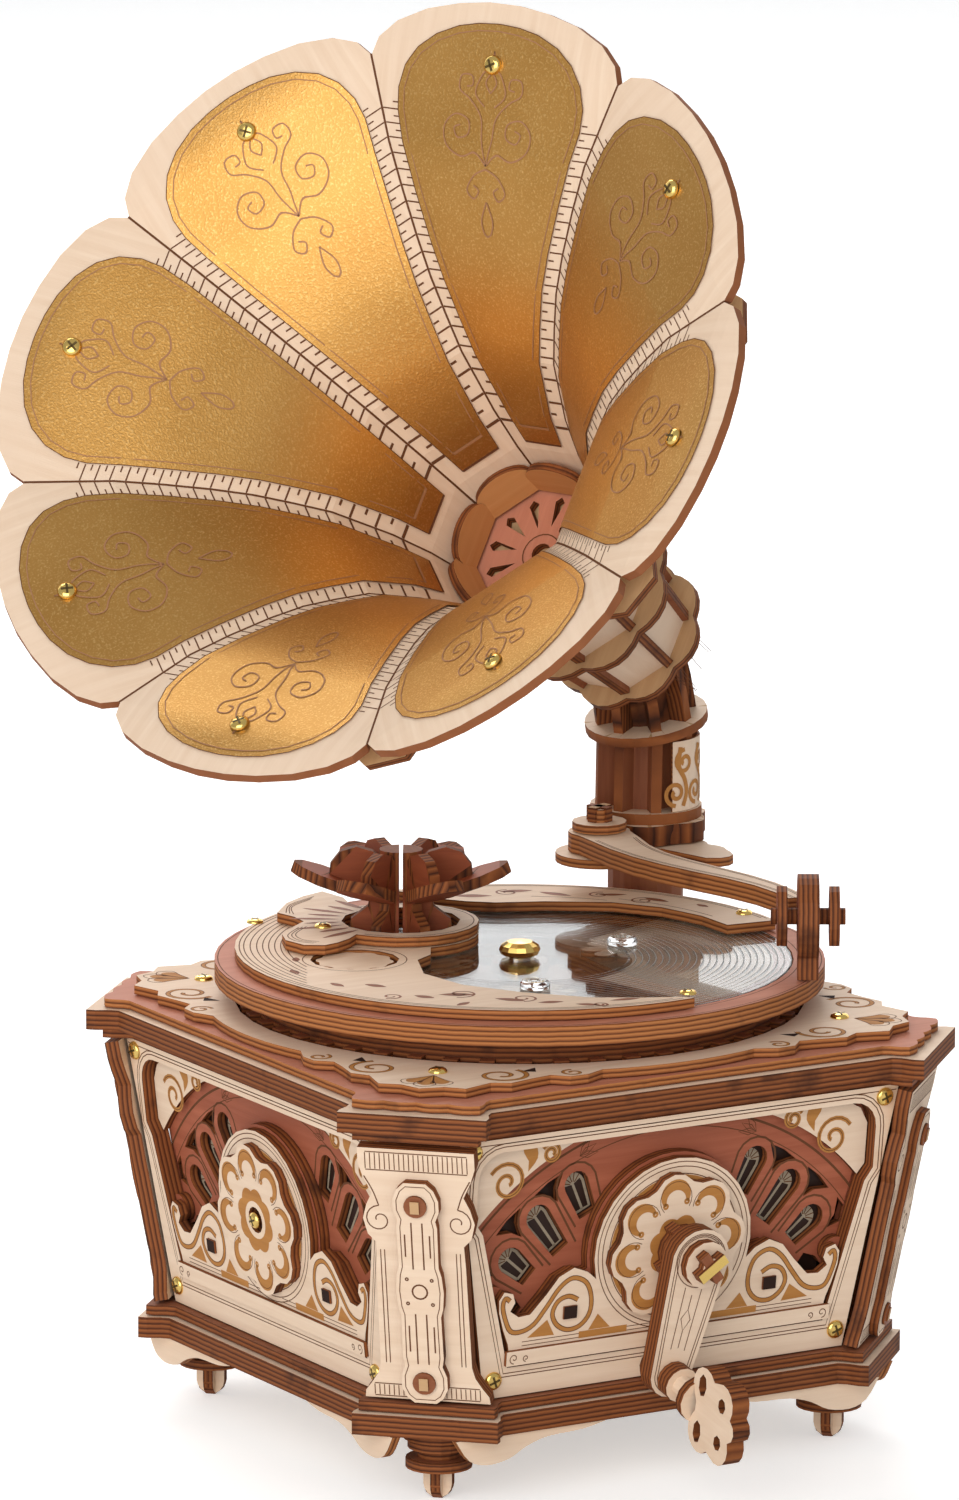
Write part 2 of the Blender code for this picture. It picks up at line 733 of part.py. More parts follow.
def spoke_windows(outer=DECK_HOLE_RADIUS, inner=BEARING_RADIUS):
    """Four openings between the spokes, and the bearing bore."""
    holes = [circle(BEARING_BORE)]
    inner_turn = math.asin(SPOKE_HALF_WIDTH / inner)
    outer_turn = math.asin(SPOKE_HALF_WIDTH / outer)
    for side in range(SIDES):
        start = QUARTER * side + outer_turn
        outside = arc(outer, start, QUARTER - 2 * outer_turn, SPOKE_OUTER_STEPS)
        start = QUARTER * (side + 1) - inner_turn
        inside = arc(inner, start, 2 * inner_turn - QUARTER, SPOKE_INNER_STEPS)
        holes.append(outside + inside)
    return holes


def deck_outline():
    discs = [(0, 0, DECK_RING_RADIUS)]
    for side in range(SIDES):
        middle = QUARTER * (side + HALF)
        discs.append((*at_turn(PALM_TIP_AT, middle), PALM_TIP_RADIUS))
        discs.append((*at_turn(PALM_BODY_AT, middle), PALM_BODY_RADIUS))
        for way in (-1, 1):
            discs.append((*at_turn(PALM_SIDE_AT, middle + way * PALM_SIDE_TURN), PALM_SIDE_RADIUS))
            discs.append((*at_turn(SPIRAL_AT, middle + way * SPIRAL_TURN), SPIRAL_RADIUS))
            discs.append((*at_turn(SCROLL_ARM_AT, middle + way * SCROLL_ARM_TURN), SCROLL_ARM_RADIUS))
            discs.append((*at_turn(SCROLL_END_AT, middle + way * SCROLL_END_TURN), SCROLL_END_RADIUS))
    return merged_discs(discs, DECK_SAMPLES)


def build_feet(root, look):
    stack = lathe("foot", solid_profile(FOOT_PROFILE), FOOT_STEPS)
    tab_height = FOOT_TAB_TOP - TAB_HALF_WIDTH
    outline = [(TAB_HALF_WIDTH, FOOT_TAB_TOP + SINK), (-TAB_HALF_WIDTH, FOOT_TAB_TOP + SINK)]
    outline += arc(TAB_HALF_WIDTH, math.pi, math.pi, TAB_END_STEPS, (0, FOOT_TAB_TOP - tab_height))
    blade = plate("foot_tab", outline, thickness=TAB_THICK)
    upright = Matrix.Rotation(QUARTER, 4, "X") @ lift(-TAB_THICK * HALF)
    for side in range(SIDES):
        middle = QUARTER * (side + HALF)
        place = Matrix.Translation((*at_turn(FOOT_REACH, middle), 0)) @ Matrix.Rotation(middle, 4, "Z")
        foot = piece(f"foot_{side + 1}", stack, look["burnt"], root, place)
        tool(f"foot_blade_{side + 1}", blade, foot, "UNION", upright)
        tool(f"foot_cross_{side + 1}", blade, foot, "UNION", Matrix.Rotation(QUARTER, 4, "Z") @ upright)


def wall_lean():
    return math.atan2(WALL_HIGH_FACE - WALL_LOW_FACE, WALL_TOP - WALL_LOW)


def wall_height():
    return (WALL_TOP - WALL_LOW) / math.cos(wall_lean()) - GAP


def wall_frame(side, depth=0):
    """Local X along the wall, Y up the wall, Z out of the wall, from the wall's low face line."""
    turned = Matrix.Rotation(QUARTER * side, 4, "Z")
    stood = Matrix.Translation((0, -WALL_LOW_FACE, WALL_LOW))
    lean = Matrix.Rotation(QUARTER + wall_lean(), 4, "X")
    return turned @ stood @ lean @ lift(-depth)


def wall_half(height):
    share = height / wall_height()
    return WALL_LOW_HALF + (WALL_HIGH_HALF - WALL_LOW_HALF) * share


def window_outline():
    halves = [
        (WINDOW_LOW, WINDOW_LOW_HALF), (WINDOW_STEP_AT, WINDOW_STEP_HALF),
        (WINDOW_STEP_AT + WINDOW_STEP_RISE, WINDOW_TOP_HALF),
    ]
    corner = (WINDOW_TOP_HALF - WINDOW_CORNER, WINDOW_HIGH - WINDOW_CORNER)
    halves += [(y, x) for x, y in arc(WINDOW_CORNER, 0, QUARTER, WINDOW_ARC_STEPS, corner)]
    return mirrored(halves)


def arch_reach(turn):
    """Distance from the wheel's middle to the arch band at a turn above level."""
    down = ARCH_DROP * math.sin(turn)
    return math.sqrt(ARCH_RADIUS ** 2 - (ARCH_DROP * math.cos(turn)) ** 2) - down


def slot_outline(middle, turn, half_length, half_width):
    forward = Vector(at_turn(1, turn))
    aside = Vector((-forward.y, forward.x))
    outline = []
    for way in (1, -1):
        for step in range(PETAL_END_STEPS + 1):
            bend = math.pi * step / PETAL_END_STEPS - QUARTER
            along = (half_length - half_width + half_width * math.cos(bend)) * way
            across = half_width * math.sin(bend) * way
            outline.append(tuple(Vector(middle) + forward * along + aside * across))
    return outline


def fret_holes():
    holes = [circle(HUB_BORE, SMALL_STEPS, (0, WHEEL_HIGH))]
    for way in (1, -1):
        for turn in PETAL_TURNS:
            x, y = at_turn(arch_reach(turn) - PETAL_BACK, turn)
            aim = turn if way > 0 else math.pi - turn
            holes.append(slot_outline((x * way, y + WHEEL_HIGH), aim, PETAL_HALF_LENGTH, PETAL_HALF_WIDTH))
        for turn in KITE_TURNS:
            x, y = at_turn(arch_reach(turn) - KITE_BACK, turn)
            kite = [(KITE_HALF, 0), (0, KITE_HALF), (-KITE_HALF, 0), (0, -KITE_HALF)]
            holes.append([(x * way + aside, y + WHEEL_HIGH + up) for aside, up in kite])
    return holes


def rail_outline():
    right = [(x, y + WHEEL_HIGH) for x, y in WAVE]
    turned = arc(DISC_RADIUS, DISC_START, math.pi - 2 * DISC_START, DISC_STEPS, (0, WHEEL_HIGH))
    left = [(-x, y) for x, y in reversed(right)]
    return right + turned + left


def rosette_outline():
    discs = [(0, WHEEL_HIGH, ROSETTE_CORE)]
    for lobe in range(ROSETTE_LOBES):
        x, y = at_turn(ROSETTE_LOBE_AT, ROSETTE_TURN + TURN * lobe / ROSETTE_LOBES)
        discs.append((x, y + WHEEL_HIGH, ROSETTE_LOBE_RADIUS))
    return merged_discs(discs, ROSETTE_SAMPLES, (0, WHEEL_HIGH), ROSETTE_TURN)


def build_walls(root, look):
    hub = circle(HUB_BORE, SMALL_STEPS, (0, WHEEL_HIGH))
    height = wall_height()
    outline = mirrored([(0, wall_half(0)), (height, wall_half(height))])
    panel = plate("panel_frame", outline, [window_outline()], PANEL_THICK)
    fret_line = mirrored([(FRET_LOW, FRET_LOW_HALF), (FRET_HIGH, FRET_HIGH_HALF)])
    fret = plate("arch_fret", fret_line, fret_holes(), FRET_THICK)
    rail = plate("scroll_rail", rail_outline(), [hub], RAIL_THICK)
    rosette = plate("rosette", rosette_outline(), [hub], ROSETTE_RISE + SINK)
    names = ("front", "right", "back", "left")
    for side, name in enumerate(names):
        piece(f"panel_frame_{name}", panel, look["pale"], root, wall_frame(side, PANEL_THICK))
        fret_depth = PANEL_THICK + GAP + FRET_THICK
        piece(f"arch_fret_{name}", fret, look["copper"], root, wall_frame(side, fret_depth))
        front = piece(f"scroll_rail_{name}", rail, look["cream"], root, wall_frame(side, RAIL_THICK))
        tool(f"rosette_{name}", rosette, front, "UNION", lift(RAIL_THICK - SINK))


def pilaster_low():
    return (WALL_LOW_HALF + WALL_LOW_FACE) * math.sqrt(HALF) + PILASTER_PLAY


def pilaster_lean():
    high = (WALL_HIGH_HALF + WALL_HIGH_FACE) * math.sqrt(HALF) + PILASTER_PLAY
    return math.atan2(high - pilaster_low(), WALL_TOP - WALL_LOW)


def build_pilasters(root, look):
    body = plate("pilaster", mirrored(PILASTER_HALVES), thickness=PILASTER_THICK)
    key = plate("keyhole_plate", mirrored(KEY_HALVES), thickness=KEY_THICK + SINK)
    lean = Matrix.Rotation(QUARTER + pilaster_lean(), 4, "X")
    names = ("front_left", "front_right", "back_right", "back_left")
    for side, name in enumerate(names):
        turned = Matrix.Rotation(QUARTER * (side - HALF), 4, "Z")
        place = turned @ Matrix.Translation((0, -pilaster_low(), WALL_LOW)) @ lean
        post = piece(f"pilaster_{name}", body, look["cream"], root, place @ lift(GAP))
        tool(f"keyhole_plate_{name}", key, post, "UNION", lift(PILASTER_THICK - SINK))


def build_drive(root, axis, look):
    top = RECORD_LOW - GAP
    low = PLINTH_TOP + GAP
    post = lathe("record_post", solid_profile([
        (POST_FOOT_RADIUS, low), (POST_FOOT_RADIUS, low + SHEET), (POST_RADIUS, low + SHEET),
        (POST_RADIUS, top - POST_FLANGE_THICK), (POST_FLANGE, top - POST_FLANGE_THICK), (POST_FLANGE, top),
    ]), SMALL_STEPS)
    piece("record_post", post, look["burnt"], root, smooth=True)
    seat = CORNICE_TOP + GAP
    sleeve = lathe("turntable_sleeve", [
        (SLEEVE_BORE, SLEEVE_LOW), (SLEEVE_RADIUS, SLEEVE_LOW), (SLEEVE_RADIUS, seat), (SLEEVE_COLLAR, seat),
        (SLEEVE_COLLAR, seat + SHEET), (SLEEVE_RADIUS, seat + SHEET), (SLEEVE_RADIUS, GEAR_TOP + SINK),
        (SLEEVE_BORE, GEAR_TOP + SINK),
    ], SMALL_STEPS)
    turner = piece("turntable_sleeve", sleeve, look["burnt"], axis, smooth=True)
    bore = circle(SLEEVE_RADIUS * SLEEVE_WALL_SHARE)
    gap_turn = -QUARTER + HALF * TURN / CROWN_TEETH
    teeth = peg_outline(CROWN_TEETH, CROWN_ROOT, CROWN_TIP, CROWN_TOOTH_HALF, gap_turn)
    crown = plate("crown_wheel", teeth, [bore], CROWN_TOP - CROWN_LOW)
    tool("crown_wheel", crown, turner, "UNION", lift(CROWN_LOW))
    sun = plate("centre_gear", gear_outline(GEAR_TEETH, GEAR_PITCH), [bore], GEAR_TOP - GEAR_LOW)
    tool("centre_gear", sun, turner, "UNION", lift(GEAR_LOW))
    low = seat + SHEET + GAP
    arms = plate("turntable_spider", circle(SPIDER_RADIUS, ROUND_STEPS), spoke_windows(SPIDER_OPEN, SPIDER_HUB),
                 SPIDER_THICK)
    spider = piece("turntable_spider", arms, look["burnt"], axis, lift(low))
    wall = plate("spider_wall", circle(SPIDER_WALL_OUT, ROUND_STEPS), [circle(SPIDER_WALL_IN, ROUND_STEPS)],
                 RIM_LOW - GAP - low - SPIDER_THICK + SINK)
    tool("spider_wall", wall, spider, "UNION", lift(SPIDER_THICK - SINK))


def build_turntable(root, axis, look):
    rim = lathe("turntable_rim", [
        (RIM_RADIUS, RIM_TOP), (RECORD_RADIUS + GAP, RIM_TOP), (RECORD_RADIUS + GAP, RECORD_LOW - GAP),
        (RIM_LEDGE, RECORD_LOW - GAP), (RIM_LEDGE, RIM_LOW), (RIM_RADIUS, RIM_LOW),
    ], RIM_STEPS)
    piece("turntable_rim", rim, look["copper"], axis, smooth=True)
    holes = [
        circle(FLOWER_HOLE, SMALL_STEPS, FLOWER_AT), circle(WHEEL_PIN_RADIUS + GAP, SMALL_STEPS, WHEEL_AT),
        circle(POST_RADIUS),
    ]
    record = plate("record_disc", circle(RECORD_RADIUS, RIM_STEPS), holes, RECORD_THICK)
    piece("record_disc", record, look["clear"], root, lift(RECORD_LOW))
    flower_window = circle(FLOWER_HOLE, SMALL_STEPS, FLOWER_AT)
    wheel_window = circle(WHEEL_WINDOW, SMALL_STEPS, WHEEL_AT)
    crescent = plate("crescent_overlay", crescent_outline(), [flower_window, wheel_window],
                     OVERLAY_TOP - OVERLAY_LOW)
    piece("crescent_overlay", crescent, look["pale"], root, lift(OVERLAY_LOW))
    wing = plate("wing_overlay", wing_outline(), [flower_window], WING_TOP - WING_LOW)
    piece("wing_overlay", wing, look["pale"], root, lift(WING_LOW))
    outer = arc(OVERLAY_RADIUS, ARC_START, ARC_SWEEP, ARC_STEPS)
    inner = [at_turn(radius, turn) for turn, radius in reversed(ARC_INNER)]
    piece("rear_arc_overlay", plate("rear_arc_overlay", outer + inner, thickness=OVERLAY_TOP - OVERLAY_LOW),
          look["pale"], root, lift(OVERLAY_LOW))
    knob = lathe("centre_knob", KNOB_PROFILE, SMALL_STEPS)
    piece("centre_knob", knob, look["brass"], root, lift(RIM_TOP + GAP), smooth=True)


def crescent_outline():
    outer = arc(OVERLAY_RADIUS, CRESCENT_START, CRESCENT_SWEEP, CRESCENT_OUTER_STEPS)
    inner = [at_turn(radius, turn) for turn, radius in CRESCENT_INNER]
    ring = arc(FLOWER_RING, RING_START, RING_SWEEP, RING_STEPS, FLOWER_AT)
    return outer + inner + ring


def wing_outline():
    return arc(FLOWER_RING, WING_RING_START, WING_RING_SWEEP, RING_STEPS, FLOWER_AT) + WING_SHAPE


def build_flower(axis, wheel_axis, look):
    leaf = plate("leaf", mirrored(LEAF_SHAPE), thickness=LEAF_THICK)
    rib = plate("rib", RIB_SHAPE, thickness=RIB_THICK)
    for way, name in ((1, "flower_half_a"), (-1, "flower_half_b")):
        face = Matrix.Rotation(FLOWER_TURN + (0 if way > 0 else math.pi), 4, "Z")
        sweep = arc(FLOWER_CORE, 0, math.pi, FLOWER_CORE_STEPS)
        core = plate(name, sweep, thickness=FLOWER_TALL)
        side = Matrix.Translation((0, FLOWER_SPLIT * HALF, FLOWER_FOOT))
        half = piece(name, core, look["copper"], axis, face @ side)
        for number, turn in enumerate(RIB_TURNS):
            swing = Matrix.Rotation(turn, 4, "Z")
            stood = Matrix.Rotation(QUARTER, 4, "X") @ lift(-RIB_THICK * HALF)
            tool(f"{name}_rib_{number}", rib, half, "UNION", swing @ stood)
            out = Matrix.Translation((LEAF_INNER, 0, LEAF_HIGH)) @ Matrix.Rotation(-LEAF_TILT, 4, "Y")
            tool(f"{name}_leaf_{number}", leaf, half, "UNION", swing @ out @ Matrix.Rotation(-QUARTER, 4, "Z"))
    flower_turn = mesh_turn((0, 0), FLOWER_AT, 0)
    wheel_turn = mesh_turn(FLOWER_AT, WHEEL_AT, flower_turn)
    teeth = gear_outline(GEAR_TEETH, GEAR_PITCH, flower_turn)
    planet = plate("flower_gear", teeth, thickness=GEAR_TOP - GEAR_LOW)
    gear = piece("flower_gear", planet, look["burnt"], axis, lift(GEAR_LOW))
    stem = plate("flower_stem", circle(STEM_RADIUS), thickness=FLOWER_FOOT - GAP - GEAR_LOW)
    tool("flower_stem", stem, gear, "UNION")
    discs = [(0, 0, WHEEL_CORE)]
    for petal in range(WHEEL_PETALS):
        discs.append((*at_turn(WHEEL_PETAL_AT, TURN * petal / WHEEL_PETALS), WHEEL_PETAL_RADIUS))
    wheel = plate("window_wheel", merged_discs(discs, WHEEL_SAMPLES), thickness=OVERLAY_TOP - OVERLAY_LOW - GAP)
    body = piece("window_wheel", wheel, look["pale"], wheel_axis, lift(OVERLAY_LOW))
    pin = plate("wheel_pin", circle(WHEEL_PIN_RADIUS), thickness=OVERLAY_LOW - GEAR_TOP + 2 * SINK)
    tool("wheel_pin", pin, body, "UNION", lift(GEAR_TOP - SINK - OVERLAY_LOW))
    low_gear = plate("wheel_gear", gear_outline(GEAR_TEETH, GEAR_PITCH, wheel_turn),
                     thickness=GEAR_TOP - GEAR_LOW)
    tool("wheel_gear", low_gear, body, "UNION", lift(GEAR_LOW - OVERLAY_LOW))


def mesh_turn(driver, driven, driver_turn):
    """Turn of a gear whose gap meets the driver's tooth nearest the line of centres."""
    facing = math.atan2(driven[1] - driver[1], driven[0] - driver[0])
    step = TURN / GEAR_TEETH
    away = facing - driver_turn
    lag = away - step * round(away / step)
    return facing + math.pi + step * HALF + lag


def crank_frame():
    """Local Z outward along the crank's axis from the panel's face."""
    return wall_frame(0) @ Matrix.Translation((0, WHEEL_HIGH, 0))


def build_crank(axis, grip_axis, look):
    shaft = lathe("crank_shaft", solid_profile([
        (SHAFT_RADIUS, -SHAFT_BACK), (SHAFT_RADIUS, -WORM_BACK_FAR), (WORM_RADIUS, -WORM_BACK_FAR),
        (WORM_RADIUS, -WORM_BACK_NEAR), (SHAFT_RADIUS, -WORM_BACK_NEAR), (SHAFT_RADIUS, COLLAR_NEAR),
        (COLLAR_RADIUS, COLLAR_NEAR), (COLLAR_RADIUS, COLLAR_FAR), (SHAFT_RADIUS, COLLAR_FAR),
        (SHAFT_RADIUS, CAP_NEAR), (CAP_RADIUS, CAP_NEAR), (CAP_RADIUS, CAP_FAR), (PEG_RADIUS, CAP_FAR),
        (PEG_RADIUS, PEG_FAR),
    ]), SMALL_STEPS)
    rod = piece("crank_shaft", shaft, look["burnt"], axis, smooth=True)
    pinion = plate("crank_pinion", peg_outline(PINION_TEETH, PINION_ROOT, PINION_TIP, PINION_TOOTH_HALF,
                                               QUARTER), thickness=2 * PINION_HALF_THICK)
    tool("crank_pinion", pinion, rod, "UNION", lift(-PINION_BACK - PINION_HALF_THICK))
    swing = Matrix.Rotation(-ARM_TURN, 4, "Z")
    flank = math.asin((ARM_TOP_RADIUS - ARM_LOW_RADIUS) / ARM_LENGTH)
    top = arc(ARM_TOP_RADIUS, flank, math.pi - 2 * flank, ARM_END_STEPS)
    low = arc(ARM_LOW_RADIUS, math.pi - flank, math.pi + 2 * flank, ARM_END_STEPS, (0, -ARM_LENGTH))
    holes = [circle(ARM_BORE), circle(GRIP_BORE, SMALL_STEPS, (0, -ARM_LENGTH))]
    arm = plate("crank_arm", top + low, holes, ARM_FAR - ARM_NEAR)
    piece("crank_arm", arm, look["cream"], axis, swing @ lift(ARM_NEAR))
    back = ARM_NEAR - ARM_FAR - GRIP_END_NEAR
    bar = lathe("grip_spindle", solid_profile([
        (GRIP_END_RADIUS, back - GRIP_END_THICK), (GRIP_END_RADIUS, back), (GRIP_PIN_RADIUS, back),
        (GRIP_PIN_RADIUS, GRIP_WASHER_NEAR), (GRIP_WASHER_RADIUS, GRIP_WASHER_NEAR),
        (GRIP_WASHER_RADIUS, GRIP_WASHER_FAR), (GRIP_BAR_RADIUS, GRIP_WASHER_FAR),
        (GRIP_BAR_RADIUS, GRIP_BAR_FAR), (GRIP_FLANGE_RADIUS, GRIP_BAR_FAR),
        (GRIP_FLANGE_RADIUS, GRIP_FLANGE_FAR),
    ]), SMALL_STEPS)
    grip = piece("grip", bar, look["cream"], grip_axis, smooth=True)
    holes = [
        [(x + side * across, y + up * along) for side, up in circle(1, CLOVER_HOLE_STEPS)]
        for x, y, across, along in CLOVER_HOLES
    ]
    clover = plate("grip_clover", merged_discs(CLOVER_DISCS, CLOVER_SAMPLES), holes, CLOVER_THICK)
    stood = Matrix.Translation((CLOVER_THICK * HALF, 0, GRIP_FLANGE_FAR + CLOVER_MIDDLE))
    tool("grip_clover", clover, grip, "UNION", stood @ Matrix.Rotation(-QUARTER, 4, "Y"))


def build_movement(root, drum_axis, look):
    outline = [
        (BED_FROM, BED_LOW), (BED_TO, BED_LOW), (BED_TO, CHEEK_TOP), (BED_TO - CHEEK_THICK, CHEEK_TOP),
        (BED_TO - CHEEK_THICK, BED_TOP), (BED_FROM + CHEEK_THICK, BED_TOP),
        (BED_FROM + CHEEK_THICK, CHEEK_TOP), (BED_FROM, CHEEK_TOP),
    ]
    bed = plate("movement_bed", outline, thickness=2 * BED_HALF_DEPTH)
    place = Matrix.Translation((0, BED_HALF_DEPTH - BED_MIDDLE, 0)) @ Matrix.Rotation(QUARTER, 4, "X")
    piece("movement_bed", bed, look["steel"], root, place)
    start = BED_FROM + CHEEK_THICK + GAP
    end = BED_TO - CHEEK_THICK - GAP
    drum = lathe("music_drum", solid_profile([
        (SHAFT_RADIUS, start), (SHAFT_RADIUS, DRUM_FROM), (DRUM_RADIUS, DRUM_FROM),
        (DRUM_RADIUS, end - SHEET), (SHAFT_RADIUS, end - SHEET), (SHAFT_RADIUS, end),
    ]), SMALL_STEPS)
    turner = piece("music_drum", drum, look["brass"], drum_axis, smooth=True)
    wheel = plate("worm_wheel", gear_outline(WORM_WHEEL_TEETH, WORM_WHEEL_PITCH), thickness=2 * WORM_WHEEL_HALF)
    tool("worm_wheel", wheel, turner, "UNION", lift(-WORM_WHEEL_HALF))


def column_frames():
    """Places and tilts of the elbow's sections, from the mid ring to the neck."""
    foot = Vector((*COLUMN_AT, MID_HEIGHT))
    end = throat_frame() @ Vector((0, 0, NECK_BACK - GAP))
    final = QUARTER - HORN_RISE
    places = []
    for step in range(ELBOW_SECTIONS + 1):
        share = step / ELBOW_SECTIONS
        tilt = MID_TILT + (final - MID_TILT) * share
        lean_share = share * share * (3 - 2 * share) * HALF + share * HALF
        middle = foot.lerp(end, lean_share)
        middle.z = foot.z + (end.z - foot.z) * math.sin(QUARTER * share * HALF) / math.sin(QUARTER * HALF)
        places.append(Matrix.Translation(middle) @ column_tilt(tilt))
    return places


def column_tilt(tilt):
    turned = Matrix.Rotation(HORN_TURN, 4, "Z")
    return turned @ Matrix.Rotation(tilt, 4, "Y")


def throat_frame():
    """Local Z along the horn's axis, from the throat."""
    away = at_turn(THROAT_REACH, HORN_TURN)
    height = TONEARM_TOP + THROAT_ABOVE_ARM
    at = Matrix.Translation((COLUMN_AT[0] + away[0], COLUMN_AT[1] + away[1], height))
    return at @ column_tilt(QUARTER - HORN_RISE)


def rib_turns():
    """Turns and radius kinds of a section with ribs, five points a rib."""
    outer = math.asin(RIB_HALF / RIB_REACH)
    inner = math.asin(RIB_HALF / RIB_ROOT)
    turns = []
    for rib in range(RIBS):
        middle = TURN * rib / RIBS
        turns += [(middle - inner, 0), (middle - outer, 1), (middle + outer, 1), (middle + inner, 0)]
        turns.append((middle + HALF * TURN / RIBS, 0))
    return turns


def section(frame, radius_of):
    return [frame @ Vector((*at_turn(radius_of(turn, kind), turn), 0)) for turn, kind in rib_turns()]


def build_column(root, look):
    centre = Matrix.Translation((*COLUMN_AT, 0)) @ Matrix.Rotation(HORN_TURN, 4, "Z")
    base = lathe("column_base", solid_profile([
        (COLUMN_FOOT_RADIUS, DECK_TOP + GAP), (COLUMN_FOOT_RADIUS, DECK_TOP + GAP + SHEET),
        (COLUMN_POST_RADIUS, DECK_TOP + GAP + SHEET), (COLUMN_POST_RADIUS, COLUMN_BASE_TOP),
    ]), SMALL_STEPS)
    piece("column_base", base, look["burnt"], root, centre)
    shelf = plate("tonearm_shelf", merged_discs(SHELF_DISCS, SHELF_SAMPLES, SHELF_CENTRE),
                  thickness=SHELF_TOP - SHELF_LOW)
    carrier = piece("tonearm_shelf", shelf, look["pale"], root, lift(SHELF_LOW))
    pin = lathe("tonearm_pin", solid_profile([
        (PIN_RADIUS, -SINK), (PIN_RADIUS, TONEARM_TOP + GAP - SHELF_TOP),
        (PIN_WASHER_RADIUS, TONEARM_TOP + GAP - SHELF_TOP), (PIN_WASHER_RADIUS, PIN_WASHER_TOP - SHELF_TOP),
        (PIN_PEG_RADIUS, PIN_WASHER_TOP - SHELF_TOP), (PIN_PEG_RADIUS, PIN_TOP - SHELF_TOP),
    ]), SMALL_STEPS)
    tool("tonearm_pin", pin, carrier, "UNION", Matrix.Translation((*PIVOT_AT, SHELF_TOP - SHELF_LOW)))

    def cloud(turn, kind):
        return CLOUD_RADIUS + CLOUD_SWELL * abs(math.sin(CLOUD_WAVES * (turn - CLOUD_FACING)))

    def low_ring(turn, kind):
        return RING_LOW_RADIUS

    def mid_ring(turn, kind):
        return MID_RADIUS

    def ribbed(turn, kind):
        return RIB_REACH if kind else RIB_ROOT

    rings = [
        section(centre @ lift(CLOUD_LOW), cloud), section(centre @ lift(CLOUD_TOP), cloud),
        section(centre @ lift(CLOUD_TOP), low_ring), section(centre @ lift(RING_LOW_TOP), low_ring),
        section(centre @ lift(RING_LOW_TOP), ribbed),
    ]
    elbow = column_frames()
    tilted = elbow[0]
    rings.append(section(tilted @ lift(-HALF * SHEET), ribbed))
    rings.append(section(tilted @ lift(-HALF * SHEET), mid_ring))
    rings.append(section(tilted @ lift(HALF * SHEET), mid_ring))
    rings.append(section(tilted @ lift(HALF * SHEET), ribbed))
    for frame in elbow[1:]:
        rings.append(section(frame, ribbed))
    piece("column", loft("column", rings), look["burnt"], root)


def polar_ring(at, radius_of):
    turns = [TURN * sample / NECK_SAMPLES for sample in range(NECK_SAMPLES)]
    return [Vector((*at_turn(radius_of(turn), turn), at)) for turn in turns]


def eight_sided(radius):
    """Radius of an octagon whose corners lie between the petals."""
    side = TURN / PETALS

    def reach(turn):
        off = (turn + side * HALF) % side - side * HALF
        return radius * math.cos(side * HALF) / math.cos(off)

    return reach


def scalloped(radius):
    def reach(turn):
        return radius * (1 - SCALLOP_SHARE + SCALLOP_SHARE * abs(math.cos(HALF * PETALS * turn)))

    return reach


def build_horn(root, look):
    throat = throat_frame() @ Matrix.Rotation(HORN_ROLL, 4, "Z")
    plain_end = -THROAT_PLATE - 2 * GAP
    rings = [
        polar_ring(NECK_BACK, scalloped(NECK_SCALLOP)), polar_ring(NECK_BACK + SHEET, scalloped(NECK_SCALLOP)),
        polar_ring(NECK_BACK + SHEET, eight_sided(NECK_LOW_RADIUS)),
        polar_ring(COLLAR_BACK, eight_sided(NECK_HIGH_RADIUS)),
        polar_ring(COLLAR_BACK, scalloped(COLLAR_SCALLOP)),
        polar_ring(COLLAR_BACK + SHEET, scalloped(COLLAR_SCALLOP)),
        polar_ring(COLLAR_BACK + SHEET, eight_sided(NECK_HIGH_RADIUS)),
        polar_ring(plain_end, eight_sided(THROAT_RADIUS)),
    ]
    piece("horn_neck", loft("horn_neck", rings), look["cream"], root, throat)
    turns = [TURN * (corner + HALF) / PETALS for corner in range(PETALS)]
    octagon = [at_turn(THROAT_RADIUS, turn) for turn in turns]
    holes = [circle(THROAT_HOLE)]
    for slot in range(SLOTS):
        middle = Matrix.Rotation(TURN * slot / SLOTS, 2)
        tear = [
            (SLOT_FROM, 0), (SLOT_TO - SLOT_HALF, -SLOT_HALF), (SLOT_TO, 0), (SLOT_TO - SLOT_HALF, SLOT_HALF),
        ]
        holes.append([tuple(middle @ Vector(point)) for point in tear])
    grille = plate("throat_grille", octagon, holes, THROAT_PLATE)
    piece("throat_grille", grille, look["copper"], root, throat @ lift(-THROAT_PLATE - GAP))
    petal = petal_mesh()
    for number in range(PETALS):
        turned = throat @ Matrix.Rotation(TURN * number / PETALS, 4, "Z")
        piece(f"horn_petal_{number + 1}", petal, look["gold"], root, turned, smooth=True)
    lobes = [(0, 0, HORN_RING_RADIUS)]
    for turn in turns:
        lobes.append((*at_turn(HORN_LOBE_AT, turn), HORN_LOBE_RADIUS))
    corner = HORN_RING_INNER / math.cos(HALF * TURN / PETALS)
    inside = [at_turn(corner, turn) for turn in turns]
    ring = plate("horn_ring", merged_discs(lobes, HORN_RING_SAMPLES), [inside], HORN_RING_THICK)
    piece("horn_ring", ring, look["burnt"], root, throat @ lift(HORN_RING_LOW))


